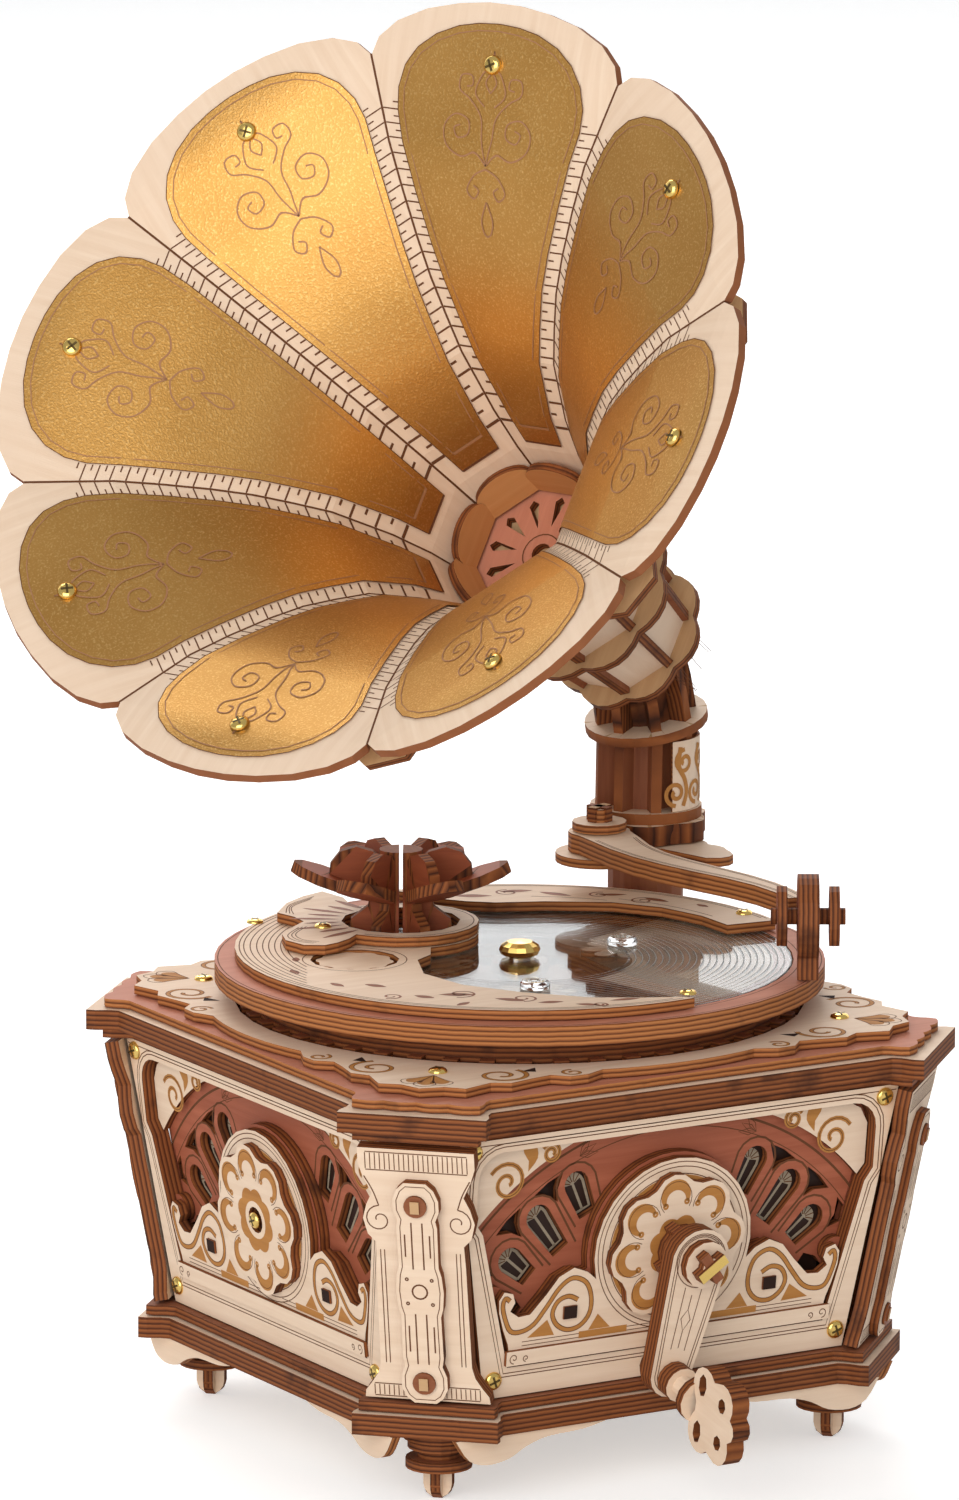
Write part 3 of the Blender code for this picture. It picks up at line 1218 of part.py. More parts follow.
def petal_mesh():
    """Bent strip, straight across, with its rounded tip past the notch."""
    slope = math.tan(HALF * TURN / PETALS)
    count = len(PETAL_PROFILE)
    notch_radius, notch_height = PETAL_PROFILE[NOTCH_ROW]
    notch_half = notch_radius * slope - PETAL_PLAY
    tip_radius, tip_height = PETAL_PROFILE[-1]
    length = math.hypot(tip_radius - notch_radius, tip_height - notch_height)
    rows = []
    for row, (radius, height) in enumerate(PETAL_PROFILE):
        before = PETAL_PROFILE[max(row - 1, 0)]
        after = PETAL_PROFILE[min(row + 1, count - 1)]
        along = Vector((after[0] - before[0], 0, after[1] - before[1])).normalized()
        back = Vector((along.z, 0, -along.x))
        half = radius * slope - PETAL_PLAY
        if row > NOTCH_ROW:
            share = math.hypot(radius - notch_radius, height - notch_height) / length
            half = notch_half * max(math.sqrt(1 - share * share), PETAL_TIP_SHARE)
        front = Vector((radius, 0, height))
        behind = front + back * SHEET
        aside = Vector((0, half, 0))
        rows.append([front - aside, front + aside, behind + aside, behind - aside])
    return loft("horn_petal", rows)


def build_tonearm(axis, look):
    centre = Vector(PIVOT_AT)
    line = [(Vector((x, y)) - centre, half) for x, y, half in TONEARM_LINE]
    left = []
    right = []
    for number, (middle, half) in enumerate(line):
        before = line[max(number - 1, 0)][0]
        after = line[min(number + 1, len(line) - 1)][0]
        along = (after - before).normalized()
        aside = Vector((-along.y, along.x)) * half
        left.append(tuple(middle + aside))
        right.append(tuple(middle - aside))
    facing = math.atan2(line[0][0].y, line[0][0].x)
    open_turn = TURN - 2 * TONEARM_SPREAD
    round_end = arc(TONEARM_ROUND, facing + TONEARM_SPREAD, open_turn, TONEARM_ROUND_STEPS)
    outline = round_end + right + list(reversed(left))
    arm = plate("tonearm", outline, [circle(TONEARM_BORE)], TONEARM_TOP - TONEARM_LOW)
    piece("tonearm", arm, look["pale"], axis, lift(TONEARM_LOW))
    needle_turn = math.asin(NEEDLE_HALF / HEAD_RADIUS)
    ring = arc(HEAD_RADIUS, needle_turn - QUARTER, TURN - 2 * needle_turn, HEAD_STEPS)
    low = NEEDLE_LOW - HEAD_HEIGHT
    outline = ring + [(-NEEDLE_HALF, low), (NEEDLE_HALF, low)]
    head = plate("tonearm_head", outline, [circle(AXLE_BORE)], HEAD_THICK)
    away = Vector((*HEAD_AT, 0)) - Vector((*PIVOT_AT, 0))
    place = Matrix.Translation((away.x, away.y, HEAD_HEIGHT)) @ Matrix.Rotation(HEAD_TURN, 4, "Z")
    stood = Matrix.Rotation(QUARTER, 4, "Y") @ Matrix.Rotation(QUARTER, 4, "Z") @ lift(-HEAD_THICK * HALF)
    piece("tonearm_head", head, look["copper"], axis, place @ stood)
    axle = lathe("tonearm_axle", solid_profile([
        (AXLE_RADIUS, -AXLE_END), (AXLE_RADIUS, -AXLE_WASHER_FAR), (AXLE_WASHER_RADIUS, -AXLE_WASHER_FAR),
        (AXLE_WASHER_RADIUS, -AXLE_WASHER_NEAR), (AXLE_RADIUS, -AXLE_WASHER_NEAR),
        (AXLE_RADIUS, AXLE_WASHER_NEAR), (AXLE_WASHER_RADIUS, AXLE_WASHER_NEAR),
        (AXLE_WASHER_RADIUS, AXLE_WASHER_FAR), (AXLE_RADIUS, AXLE_WASHER_FAR), (AXLE_RADIUS, AXLE_END),
    ]), SMALL_STEPS)
    piece("tonearm_axle", axle, look["burnt"], axis, place @ Matrix.Rotation(QUARTER, 4, "Y"), smooth=True)


def settle(root):
    """Bring the middle of the lowest plane of the whole part to the world's origin."""
    bpy.context.view_layer.update()
    shown = bpy.context.evaluated_depsgraph_get()
    points = []
    for item in bpy.data.objects:
        if item.type == "MESH" and not item.hide_render:
            made = item.evaluated_get(shown)
            points += [made.matrix_world @ corner.co for corner in made.data.vertices]
    low = [min(point[way] for point in points) for way in range(3)]
    high = [max(point[way] for point in points) for way in range(3)]
    root.location = (-(low[0] + high[0]) * HALF, -(low[1] + high[1]) * HALF, -low[2])
    bpy.context.view_layer.update()


def main():
    clear_scene()
    look = {
        "cream": surface("cream_ply", CREAM), "pale": surface("pale_ply", PALE),
        "copper": surface("copper_ply", COPPER), "burnt": surface("burnt_ply", BURNT),
        "gold": surface("gold_card", GOLD, METAL_ROUGH),
        "brass": surface("brass", BRASS, METAL_ROUGH, 1.0), "steel": surface("steel", STEEL, METAL_ROUGH, 1.0),
        "clear": surface("clear_acrylic", CLEAR, CLEAR_ROUGH, 0.0, 1.0),
    }
    root = pivot("gramophone")
    build_base(root, look)
    build_feet(root, look)
    build_walls(root, look)
    build_pilasters(root, look)
    turntable_axis = pivot("turntable_axis", root)
    build_drive(root, turntable_axis, look)
    build_turntable(root, turntable_axis, look)
    flower_axis = pivot("flower_axis", root, Matrix.Translation((*FLOWER_AT, 0)))
    wheel_axis = pivot("wheel_axis", root, Matrix.Translation((*WHEEL_AT, 0)))
    build_flower(flower_axis, wheel_axis, look)
    crank_axis = pivot("crank_axis", root, crank_frame())
    middle = HALF * (ARM_FAR - ARM_NEAR)
    droop = lift(-middle) @ Matrix.Rotation(GRIP_DROOP, 4, "X") @ lift(middle)
    grip_at = Matrix.Rotation(-ARM_TURN, 4, "Z") @ Matrix.Translation((0, -ARM_LENGTH, ARM_FAR))
    upright = Matrix.Rotation(ARM_TURN, 4, "Z") @ droop
    grip_axis = pivot("grip_axis", crank_axis, grip_at @ upright)
    build_crank(crank_axis, grip_axis, look)
    drum_place = Matrix.Translation((0, -BED_MIDDLE, DRUM_HEIGHT)) @ Matrix.Rotation(QUARTER, 4, "Y")
    drum_axis = pivot("drum_axis", root, drum_place)
    build_movement(root, drum_axis, look)
    build_column(root, look)
    build_horn(root, look)
    tonearm_axis = pivot("tonearm_axis", root, Matrix.Translation((*PIVOT_AT, 0)))
    build_tonearm(tonearm_axis, look)
    settle(root)


main()
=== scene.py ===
"""Looks for the hand cranked gramophone music box, a kit of laser cut plywood."""

import math

import bmesh
import bpy
from mathutils import Matrix, Vector


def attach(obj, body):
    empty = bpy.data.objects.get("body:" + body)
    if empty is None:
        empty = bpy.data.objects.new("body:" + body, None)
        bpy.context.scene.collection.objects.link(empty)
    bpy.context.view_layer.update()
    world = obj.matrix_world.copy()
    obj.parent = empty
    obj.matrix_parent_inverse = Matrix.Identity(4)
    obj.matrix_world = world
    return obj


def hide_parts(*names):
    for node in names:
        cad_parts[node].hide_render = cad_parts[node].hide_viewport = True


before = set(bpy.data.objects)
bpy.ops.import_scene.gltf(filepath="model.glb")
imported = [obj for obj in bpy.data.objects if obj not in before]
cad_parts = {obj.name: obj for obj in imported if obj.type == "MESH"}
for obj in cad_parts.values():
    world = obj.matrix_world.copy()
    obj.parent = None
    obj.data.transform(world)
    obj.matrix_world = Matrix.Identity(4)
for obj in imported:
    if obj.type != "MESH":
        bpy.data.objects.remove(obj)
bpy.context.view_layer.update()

# The pale table, the white wall behind it and soft daylight from large windows.
MM = 0.001
CENTRED = Matrix.Translation((10.451, 5.430, -0.142))
SHOT_TURN = math.radians(-31.007)
SHOT_RISE = math.radians(11.478)
SHOT_ROLL = math.radians(0.197)
SHOT_AWAY = 2265.0
SHOT_AIM = Vector((0, 0, 151.205))
SHOT_LENS = 273.1


def node(tree, kind, inputs=None, **settings):
    made = tree.nodes.new(kind)
    for key, value in settings.items():
        setattr(made, key, value)
    for key, value in (inputs or {}).items():
        if isinstance(value, bpy.types.NodeSocket):
            tree.links.new(value, made.inputs[key])
        else:
            made.inputs[key].default_value = value
    return made


def colour(shade):
    return (*shade, 1.0)


def plain(name, shade, roughness=0.6, metallic=0.0):
    look = bpy.data.materials.new(name)
    look.use_nodes = True
    shader = look.node_tree.nodes["Principled BSDF"]
    shader.inputs["Base Color"].default_value = colour(shade)
    shader.inputs["Roughness"].default_value = roughness
    shader.inputs["Metallic"].default_value = metallic
    shader.inputs["Specular IOR Level"].default_value = 0.5 if metallic or roughness < 0.3 else 0.25
    return look


def softbox(name, place, aim, width, power, tint=(1.0, 1.0, 1.0)):
    lamp = bpy.data.lights.new(name, "AREA")
    lamp.energy = power
    lamp.size = width
    lamp.color = tint
    holder = bpy.data.objects.new(name, lamp)
    holder.location = place
    holder.rotation_mode = "QUATERNION"
    holder.rotation_quaternion = (Vector(aim) - Vector(place)).to_track_quat("-Z", "Y")
    bpy.context.scene.collection.objects.link(holder)


floor_mesh = bpy.data.meshes.new("table_top")
floor_mesh.from_pydata([(-20, -20, 0), (20, -20, 0), (20, 20, 0), (-20, 20, 0)], [], [(0, 1, 2, 3)])
floor = bpy.data.objects.new("table_top", floor_mesh)
bpy.context.scene.collection.objects.link(floor)
table_card = plain("table_card", (0.86, 0.86, 0.86), 0.9)
tree = table_card.node_tree
path = node(tree, "ShaderNodeLightPath")
seen = node(tree, "ShaderNodeMath", operation="MAXIMUM",
            inputs={0: path.outputs["Is Camera Ray"], 1: path.outputs["Is Transmission Ray"]})
lift = node(tree, "ShaderNodeMath", {0: seen.outputs[0], 1: 0.46}, operation="MULTIPLY")
tree.nodes["Principled BSDF"].inputs["Emission Color"].default_value = (1, 1, 1, 1)
tree.links.new(lift.outputs[0], tree.nodes["Principled BSDF"].inputs["Emission Strength"])
floor_mesh.materials.append(table_card)

wall_mesh = bpy.data.meshes.new("white_wall")
wall_mesh.from_pydata([(-6, 0, -0.2), (6, 0, -0.2), (6, 0, 4.5), (-6, 0, 4.5)], [], [(0, 1, 2, 3)])
wall = bpy.data.objects.new("white_wall", wall_mesh)
wall.location = (1.7, 2.8, 0)
wall.rotation_euler = (0, 0, SHOT_TURN)
bpy.context.scene.collection.objects.link(wall)
wall_paint = plain("wall_paint", (0.8, 0.8, 0.8), 0.9)
tree = wall_paint.node_tree
path = node(tree, "ShaderNodeLightPath")
seen = node(tree, "ShaderNodeMath", operation="MAXIMUM",
            inputs={0: path.outputs["Is Camera Ray"], 1: path.outputs["Is Transmission Ray"]})
seen = node(tree, "ShaderNodeMath", {0: seen.outputs[0], 1: path.outputs["Is Glossy Ray"]},
            operation="MAXIMUM")
tree.nodes["Principled BSDF"].inputs["Emission Color"].default_value = (1, 1, 1, 1)
tree.links.new(seen.outputs[0], tree.nodes["Principled BSDF"].inputs["Emission Strength"])
wall_mesh.materials.append(wall_paint)

world = bpy.data.worlds.new("white_room")
bpy.context.scene.world = world
world.use_nodes = True
tree = world.node_tree
path = node(tree, "ShaderNodeLightPath")
lit = node(tree, "ShaderNodeBackground", {"Color": (0.97, 0.985, 1.0, 1.0), "Strength": 0.47})
sky = node(tree, "ShaderNodeBackground", {"Color": (1, 1, 1, 1), "Strength": 1.0})
mixed = node(tree, "ShaderNodeMixShader",
             {0: path.outputs["Is Camera Ray"], 1: lit.outputs[0], 2: sky.outputs[0]})
tree.links.new(mixed.outputs[0], tree.nodes["World Output"].inputs["Surface"])

softbox("left_window", (-1.35, -1.25, 0.62), (0, 0, 0.13), 1.8, 30.0, (1.0, 0.975, 0.94))
softbox("back_window", (0.4, 1.2, 1.2), (0, 0, 0.1), 1.1, 15.0)

bpy.context.scene.view_settings.view_transform = "Standard"
back = Vector((math.sin(SHOT_TURN) * math.cos(SHOT_RISE), -math.cos(SHOT_TURN) * math.cos(SHOT_RISE),
               math.sin(SHOT_RISE)))
aside = back.cross(Vector((0, 0, -1))).normalized()
upward = back.cross(aside).normalized()
across = aside * math.cos(SHOT_ROLL) + upward * math.sin(SHOT_ROLL)
upright = upward * math.cos(SHOT_ROLL) - aside * math.sin(SHOT_ROLL)
camera = bpy.data.objects.new("camera", bpy.data.cameras.new("camera"))
bpy.context.scene.collection.objects.link(camera)
bpy.context.scene.camera = camera
camera.data.lens = SHOT_LENS
camera.data.sensor_width = 36
camera.data.shift_x = -0.0274
camera.data.shift_y = -0.047
camera.data.clip_end = 100
standing = Matrix((across, upright, back)).transposed().to_4x4()
standing.translation = (CENTRED @ (SHOT_AIM + back * SHOT_AWAY)) * MM
camera.matrix_world = standing

# Plinth, its moulding and the four feet: plywood sheets glued in layers, cut by laser.
# The broad sides keep the veneer's colour and the cut edges are burnt brown, with each ply showing.
# A sheet's own frame is kept on its corners, so grain runs along it and plies run across its edge.


def grain_group():
    group = bpy.data.node_groups.new("veneer_grain", "ShaderNodeTree")
    for name in ("Figure", "Pores", "Mottle"):
        group.interface.new_socket(name, in_out="OUTPUT", socket_type="NodeSocketFloat")
    at = node(group, "ShaderNodeAttribute", attribute_name="sheet")
    streak = node(group, "ShaderNodeMapping", {"Vector": at.outputs["Vector"], "Scale": (26, 480, 60)})
    figure = node(group, "ShaderNodeTexNoise", {"Vector": streak.outputs[0], "Scale": 1.0, "Detail": 5.0,
                                                "Roughness": 0.62, "Distortion": 0.4})
    fine = node(group, "ShaderNodeMapping", {"Vector": at.outputs["Vector"], "Scale": (260, 4200, 900)})
    pores = node(group, "ShaderNodeTexNoise", {"Vector": fine.outputs[0], "Scale": 1.0, "Detail": 3.0})
    mottle = node(group, "ShaderNodeTexNoise", {"Vector": at.outputs["Vector"], "Scale": 34.0, "Detail": 2.0})
    out = node(group, "NodeGroupOutput")
    for name, source in (("Figure", figure), ("Pores", pores), ("Mottle", mottle)):
        group.links.new(source.outputs["Fac"], out.inputs[name])
    return group


def edge_group():
    group = bpy.data.node_groups.new("ply_edge", "ShaderNodeTree")
    for name in ("Ply", "Char"):
        group.interface.new_socket(name, in_out="OUTPUT", socket_type="NodeSocketFloat")
    at = node(group, "ShaderNodeAttribute", attribute_name="sheet")
    split = node(group, "ShaderNodeSeparateXYZ", {0: at.outputs["Vector"]})
    wobble = node(group, "ShaderNodeTexNoise", {"Vector": at.outputs["Vector"], "Scale": 260.0, "Detail": 3.0})
    shaken = node(group, "ShaderNodeMath", {0: wobble.outputs["Fac"], 1: 0.14}, operation="MULTIPLY")
    plies = node(group, "ShaderNodeMath", {0: split.outputs["Z"], 1: 500.0, 2: shaken.outputs[0]},
                 operation="MULTIPLY_ADD")
    ply = node(group, "ShaderNodeMath", {0: plies.outputs[0]}, operation="FRACT")
    char = node(group, "ShaderNodeTexNoise", {"Vector": at.outputs["Vector"], "Scale": 85.0, "Detail": 4.0})
    out = node(group, "NodeGroupOutput")
    group.links.new(ply.outputs[0], out.inputs["Ply"])
    group.links.new(char.outputs["Fac"], out.inputs["Char"])
    return group


grain = grain_group()
plies = edge_group()


def blended(tree, share, first, second):
    mix = node(tree, "ShaderNodeMix", {"Factor": share}, data_type="RGBA")
    for number, value in ((6, first), (7, second)):
        if isinstance(value, bpy.types.NodeSocket):
            tree.links.new(value, mix.inputs[number])
        else:
            mix.inputs[number].default_value = colour(value)
    return mix.outputs[2]


def ramp(tree, share, low, high):
    made = node(tree, "ShaderNodeMapRange", {"Value": share, "From Min": low, "From Max": high})
    return made.outputs[0]


def veneer(name, light, dark, tone, roughness=0.62):
    look = plain(name, light, roughness)
    tree = look.node_tree
    shader = tree.nodes["Principled BSDF"]
    figure = node(tree, "ShaderNodeGroup", node_tree=grain)
    streaks = blended(tree, ramp(tree, figure.outputs["Figure"], 0.34, 0.72), light, dark)
    whole = blended(tree, ramp(tree, figure.outputs["Mottle"], 0.42, 0.85), streaks, tone)
    tree.links.new(whole, shader.inputs["Base Color"])
    bump = node(tree, "ShaderNodeBump", {"Strength": 0.35, "Distance": 0.00006,
                                         "Height": figure.outputs["Pores"]})
    tree.links.new(bump.outputs[0], shader.inputs["Normal"])
    return look


def burnt(name, light, mid, dark, charred=0.55):
    look = plain(name, mid, 0.7)
    tree = look.node_tree
    shader = tree.nodes["Principled BSDF"]
    layer = node(tree, "ShaderNodeGroup", node_tree=plies)
    bands = node(tree, "ShaderNodeValToRGB", {"Fac": layer.outputs["Ply"]})
    stops = [(0.0, dark), (0.14, mid), (0.36, light), (0.46, mid), (0.54, dark), (0.64, mid), (0.86, light),
             (0.96, mid)]
    while len(bands.color_ramp.elements) < len(stops):
        bands.color_ramp.elements.new(0.5)
    for stop, (at, shade) in zip(bands.color_ramp.elements, stops):
        stop.position = at
        stop.color = colour(shade)
    scorched = blended(tree, ramp(tree, layer.outputs["Char"], charred, charred + 0.2),
                       bands.outputs["Color"], dark)
    tree.links.new(scorched, shader.inputs["Base Color"])
    bump = node(tree, "ShaderNodeBump", {"Strength": 0.5, "Distance": 0.00012, "Height": layer.outputs["Ply"]})
    tree.links.new(bump.outputs[0], shader.inputs["Normal"])
    return look


cream = veneer("cream_veneer", (0.85, 0.665, 0.505), (0.76, 0.56, 0.40), (0.81, 0.615, 0.46))
copper = veneer("copper_veneer", (0.42, 0.125, 0.065), (0.31, 0.082, 0.040), (0.36, 0.105, 0.055))
rose = veneer("rose_veneer", (0.56, 0.225, 0.14), (0.46, 0.165, 0.095), (0.52, 0.215, 0.14))
brown = veneer("brown_veneer", (0.30, 0.105, 0.045), (0.20, 0.06, 0.026), (0.26, 0.09, 0.04))
tan = veneer("tan_veneer", (0.60, 0.38, 0.20), (0.50, 0.29, 0.14), (0.56, 0.36, 0.19))
ochre = veneer("ochre_inlay", (0.52, 0.235, 0.06), (0.38, 0.155, 0.035), (0.46, 0.195, 0.05), 0.7)
dark_edge = burnt("burnt_edge", (0.30, 0.095, 0.026), (0.16, 0.044, 0.012), (0.036, 0.010, 0.004))
warm_edge = burnt("toasted_edge", (0.50, 0.195, 0.060), (0.28, 0.090, 0.026), (0.065, 0.019, 0.006), 0.6)
scorch = plain("engraved_line", (0.135, 0.05, 0.020), 0.8)
# Near black painted shade for the dark inside holes and slots and under parts.
shadow_brown = plain("cut_through_painted_shade", (0.028, 0.012, 0.008), 0.9)


def veneered(name, place, face, edge):
    """Veneer on a CAD sheet's broad sides, a burnt edge all round it."""
    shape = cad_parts[name].data
    shape.materials.clear()
    for look in (face, edge):
        shape.materials.append(look)
    whole = CENTRED @ place
    inward = whole.inverted()
    up = whole.to_3x3().col[2]
    store = shape.attributes.new("sheet", "FLOAT_VECTOR", "POINT")
    for corner in shape.vertices:
        store.data[corner.index].vector = (inward @ (corner.co / MM)) * MM
    for side in shape.polygons:
        side.material_index = 0 if abs(side.normal.dot(up)) > 0.7 else 1


def bench():
    """A new heap of cut pieces."""
    heap = bmesh.new()
    heap.verts.layers.float_vector.new("sheet")
    return heap


def corner(heap, place, x, y, z):
    made = heap.verts.new((CENTRED @ place @ Vector((x, y, z))) * MM)
    made[heap.verts.layers.float_vector["sheet"]] = Vector((x, y, z)) * MM
    return made


def cut(heap, place, outline, holes=(), low=0.0, high=2.0, face=0, edge=1):
    """One sheet with its holes, as the laser leaves it."""
    rows = []
    for height in (low, high):
        loops = []
        lines = []
        for loop in (outline, *holes):
            row = [corner(heap, place, x, y, height) for x, y in loop]
            lines += [heap.edges.new(pair) for pair in zip(row, row[1:] + row[:1])]
            loops.append(row)
        filled = bmesh.ops.triangle_fill(heap, use_beauty=True, edges=lines)
        for part in filled["geom"]:
            if isinstance(part, bmesh.types.BMFace):
                part.material_index = face
        rows.append(loops)
    for below, above in zip(*rows):
        for here in range(len(below)):
            there = (here + 1) % len(below)
            side = heap.faces.new((below[here], below[there], above[there], above[here]))
            side.material_index = edge


def patch(heap, place, outline, height, holes=(), kind=0):
    """A flat area of another colour, such as a deep engraved ground."""
    lines = []
    for loop in (outline, *holes):
        row = [corner(heap, place, x, y, height) for x, y in loop]
        lines += [heap.edges.new(pair) for pair in zip(row, row[1:] + row[:1])]
    filled = bmesh.ops.triangle_fill(heap, use_beauty=True, edges=lines)
    for part in filled["geom"]:
        if isinstance(part, bmesh.types.BMFace):
            part.material_index = kind


def line(heap, place, path, width, height, closed=False, kind=0):
    """An engraved line along a path, as one thin strip; width may be one for each point."""
    count = len(path)
    points = [Vector(point) for point in path]
    widths = width if isinstance(width, (list, tuple)) else [width] * count
    rows = []
    for here in range(count):
        before = points[(here - 1) % count] if closed or here else points[0]
        after = points[(here + 1) % count] if closed or here < count - 1 else points[-1]
        along = (after - before)
        if along.length < 1e-6:
            along = Vector((1, 0))
        side = Vector((-along.y, along.x)).normalized() * widths[here] / 2
        left = points[here] + side
        right = points[here] - side
        rows.append((corner(heap, place, *left, height), corner(heap, place, *right, height)))
    pairs = list(zip(rows, rows[1:] + rows[:1])) if closed else list(zip(rows, rows[1:]))
    for (left, right), (next_left, next_right) in pairs:
        heap.faces.new((left, right, next_right, next_left)).material_index = kind


def placed(name, heap, body, *looks, slot=None):
    bmesh.ops.recalc_face_normals(heap, faces=heap.faces[:])
    mesh = bpy.data.meshes.new(name)
    heap.to_mesh(mesh)
    heap.free()
    for look in looks:
        mesh.materials.append(look)
    made = bpy.data.objects.new(name, mesh)
    bpy.context.scene.collection.objects.link(made)
    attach(made, body)
    return made


def turned(turn):
    return Matrix.Rotation(turn, 4, "Z")


def at(x, y, z=0):
    return Matrix.Translation((x, y, z))


def sweep(radius, start, turn, steps, centre=(0, 0)):
    """Points along an arc, degrees."""
    return [(centre[0] + radius * math.cos(math.radians(start + turn * step / steps)),
             centre[1] + radius * math.sin(math.radians(start + turn * step / steps)))
            for step in range(steps + 1)]


def hoop(radius, centre=(0, 0), steps=24):
    return sweep(radius, 0, 360, steps, centre)[:-1]


def curl(centre, wide, tight, start, turn, steps=22):
    """A spiral from its wide end to its tight end, degrees."""
    points = []
    for step in range(steps + 1):
        share = step / steps
        radius = wide + (tight - wide) * share
        bearing = math.radians(start + turn * share)
        points.append((centre[0] + radius * math.cos(bearing), centre[1] + radius * math.sin(bearing)))
    return points


def eased(points, steps=5):
    """A smooth line through points."""
    ends = [points[0], *points, points[-1]]
    smooth = []
    for a, b, c, d in zip(ends, ends[1:], ends[2:], ends[3:]):
        for step in range(steps):
            t = step / steps
            spot = []
            for p, q, r, s in zip(a, b, c, d):
                square = (2 * p - 5 * q + 4 * r - s) * t ** 2
                cube = (3 * q - p - 3 * r + s) * t ** 3
                spot.append(0.5 * (2 * q + (r - p) * t + square + cube))
            smooth.append(tuple(spot))
    smooth.append(tuple(points[-1]))
    return smooth


def sided(path, way):
    """The path on the right, or its mirror image on the left."""
    return [(x * way, y) for x, y in path]


def block(x0, x1, y0, y1):
    return [(x0, y0), (x1, y0), (x1, y1), (x0, y1)]


BASE = Matrix()
veneered("plinth_plate", at(0, 0, 14.7), cream, dark_edge)
veneered("plinth_moulding", at(0, 0, 19.3), brown, dark_edge)
for number in range(1, 5):
    veneered(f"foot_{number}", at(0, 0, 0.4), brown, dark_edge)

FOOT_REACH = 64.1
feet = bench()
for side in range(4):
    stand = turned(math.radians(45 + 90 * side)) @ at(FOOT_REACH, 0)
    for quarter in (0, 90):
        blade = stand @ turned(math.radians(quarter)) @ Matrix.Rotation(math.radians(90), 4, "X")
        tab = [(2.9, 6.3), (-2.9, 6.3)] + sweep(2.9, 180, 180, 8, (0, 3.1))
        cut(feet, blade, tab, (), -1.02, 1.02, 0, 1)
    for low, high, radius in ((14.35, 12.4, 7.2), (12.3, 10.4, 6.2), (8.3, 6.4, 6.6)):
        cut(feet, stand, hoop(radius, steps=20), (), high, low, 1, 1)
placed("foot_tabs", feet, "case", cream, dark_edge, slot="cream_ply")

aprons = bench()
for side in range(4):
    for way in (1, -1):
        board = turned(math.radians(90 * side)) @ at(0, -56.2, 0) @ Matrix.Rotation(math.radians(90), 4, "X")
        shape = [(14, 14.6), (20, 13.4), (28, 13.0), (33, 11.6), (37, 9.6), (42, 9.0), (46, 10.4), (49, 14.6)]
        outline = [(x * way, y) for x, y in eased(shape, 3)]
        cut(aprons, board, outline, (), 0, 1.9)
placed("plinth_aprons", aprons, "case", cream, warm_edge, slot="cream_ply")

# Four leaning panels: a cream frame of two sheets, screwed at its corners, with double scribed lines.
# Behind it a copper fret with tall windows stands before a near black backing sheet, painted shade for the dark
# inside of the box, and cream plates fill its corners.
# In front a cream scroll rail, with a copper layer behind it, carries a round disc and a flower rosette.
LEAN = math.radians(6.55)
HUB = (0, 26.9)
ARCH = (0, 13.9)
WINDOW = [(36.5, 6.0), (44.0, 34.5), (45.8, 37.1)] + sweep(5.5, 0, 90, 5, (40.3, 45.7))
RAIL_LINE = eased([(36.8, 19.9), (37.9, 20.6), (38.4, 19.0), (37.7, 16.3), (36.3, 13.6), (33.8, 13.2),
                   (31.0, 14.4), (28.2, 17.8), (25.6, 21.2), (22.7, 22.9), (19.6, 21.6), (18.2, 18.4),
                   (18.4, 15.0), (20.4, 12.7), (23.3, 12.2), (25.8, 13.6), (26.9, 16.0), (25.8, 18.4),
                   (23.4, 19.2), (21.2, 18.2)], 4)
SIDES = ("front", "right", "back", "left")


def wall_place(side):
    lean = Matrix.Rotation(math.radians(90) + LEAN, 4, "X")
    return turned(math.radians(90 * side)) @ at(0, -55.8, 21.6) @ lean


def grown(outline, distance):
    """A closed outline moved outward by a distance."""
    moved = []
    count = len(outline)
    area = sum(a[0] * b[1] - b[0] * a[1] for a, b in zip(outline, outline[1:] + outline[:1]))
    way = distance if area > 0 else -distance
    for here in range(count):
        a = Vector(outline[here - 1])
        b = Vector(outline[here])
        c = Vector(outline[(here + 1) % count])
        first = (b - a).normalized()
        second = (c - b).normalized()
        normal = Vector((first.y + second.y, -first.x - second.x)).normalized()
        share = max(normal.dot(Vector((first.y, -first.x))), 0.4)
        moved.append(tuple(b + normal * way / share))
    return moved


def screw(heap, place, radius, high=1.0, turn=20.0):
    """Pan head with a cross recess, drawn as a flat dark cross of painted shade on its dome."""
    profile = [(radius, 0.0), (radius, high * 0.35), (radius * 0.86, high * 0.75), (radius * 0.55, high),
               (0.0, high * 1.04)]
    rows = [[corner(heap, place, r * math.cos(k * math.pi / 8), r * math.sin(k * math.pi / 8), h)
             for k in range(16)] for r, h in profile[:-1]]
    tip = corner(heap, place, 0, 0, profile[-1][1])
    for low, top in zip(rows, rows[1:]):
        for k in range(16):
            side = heap.faces.new((low[k], low[(k + 1) % 16], top[(k + 1) % 16], top[k]))
            side.smooth = True
    for k in range(16):
        heap.faces.new((rows[-1][k], rows[-1][(k + 1) % 16], tip)).smooth = True
    # The cross is a flat dark strip in the second finish: painted shade, not a cut.
    for quarter in (0, 90):
        bearing = math.radians(turn + quarter)
        end = (radius * 0.62 * math.cos(bearing), radius * 0.62 * math.sin(bearing))
        line(heap, place, [(-end[0], -end[1]), end], radius * 0.24, high * 1.07, kind=1)


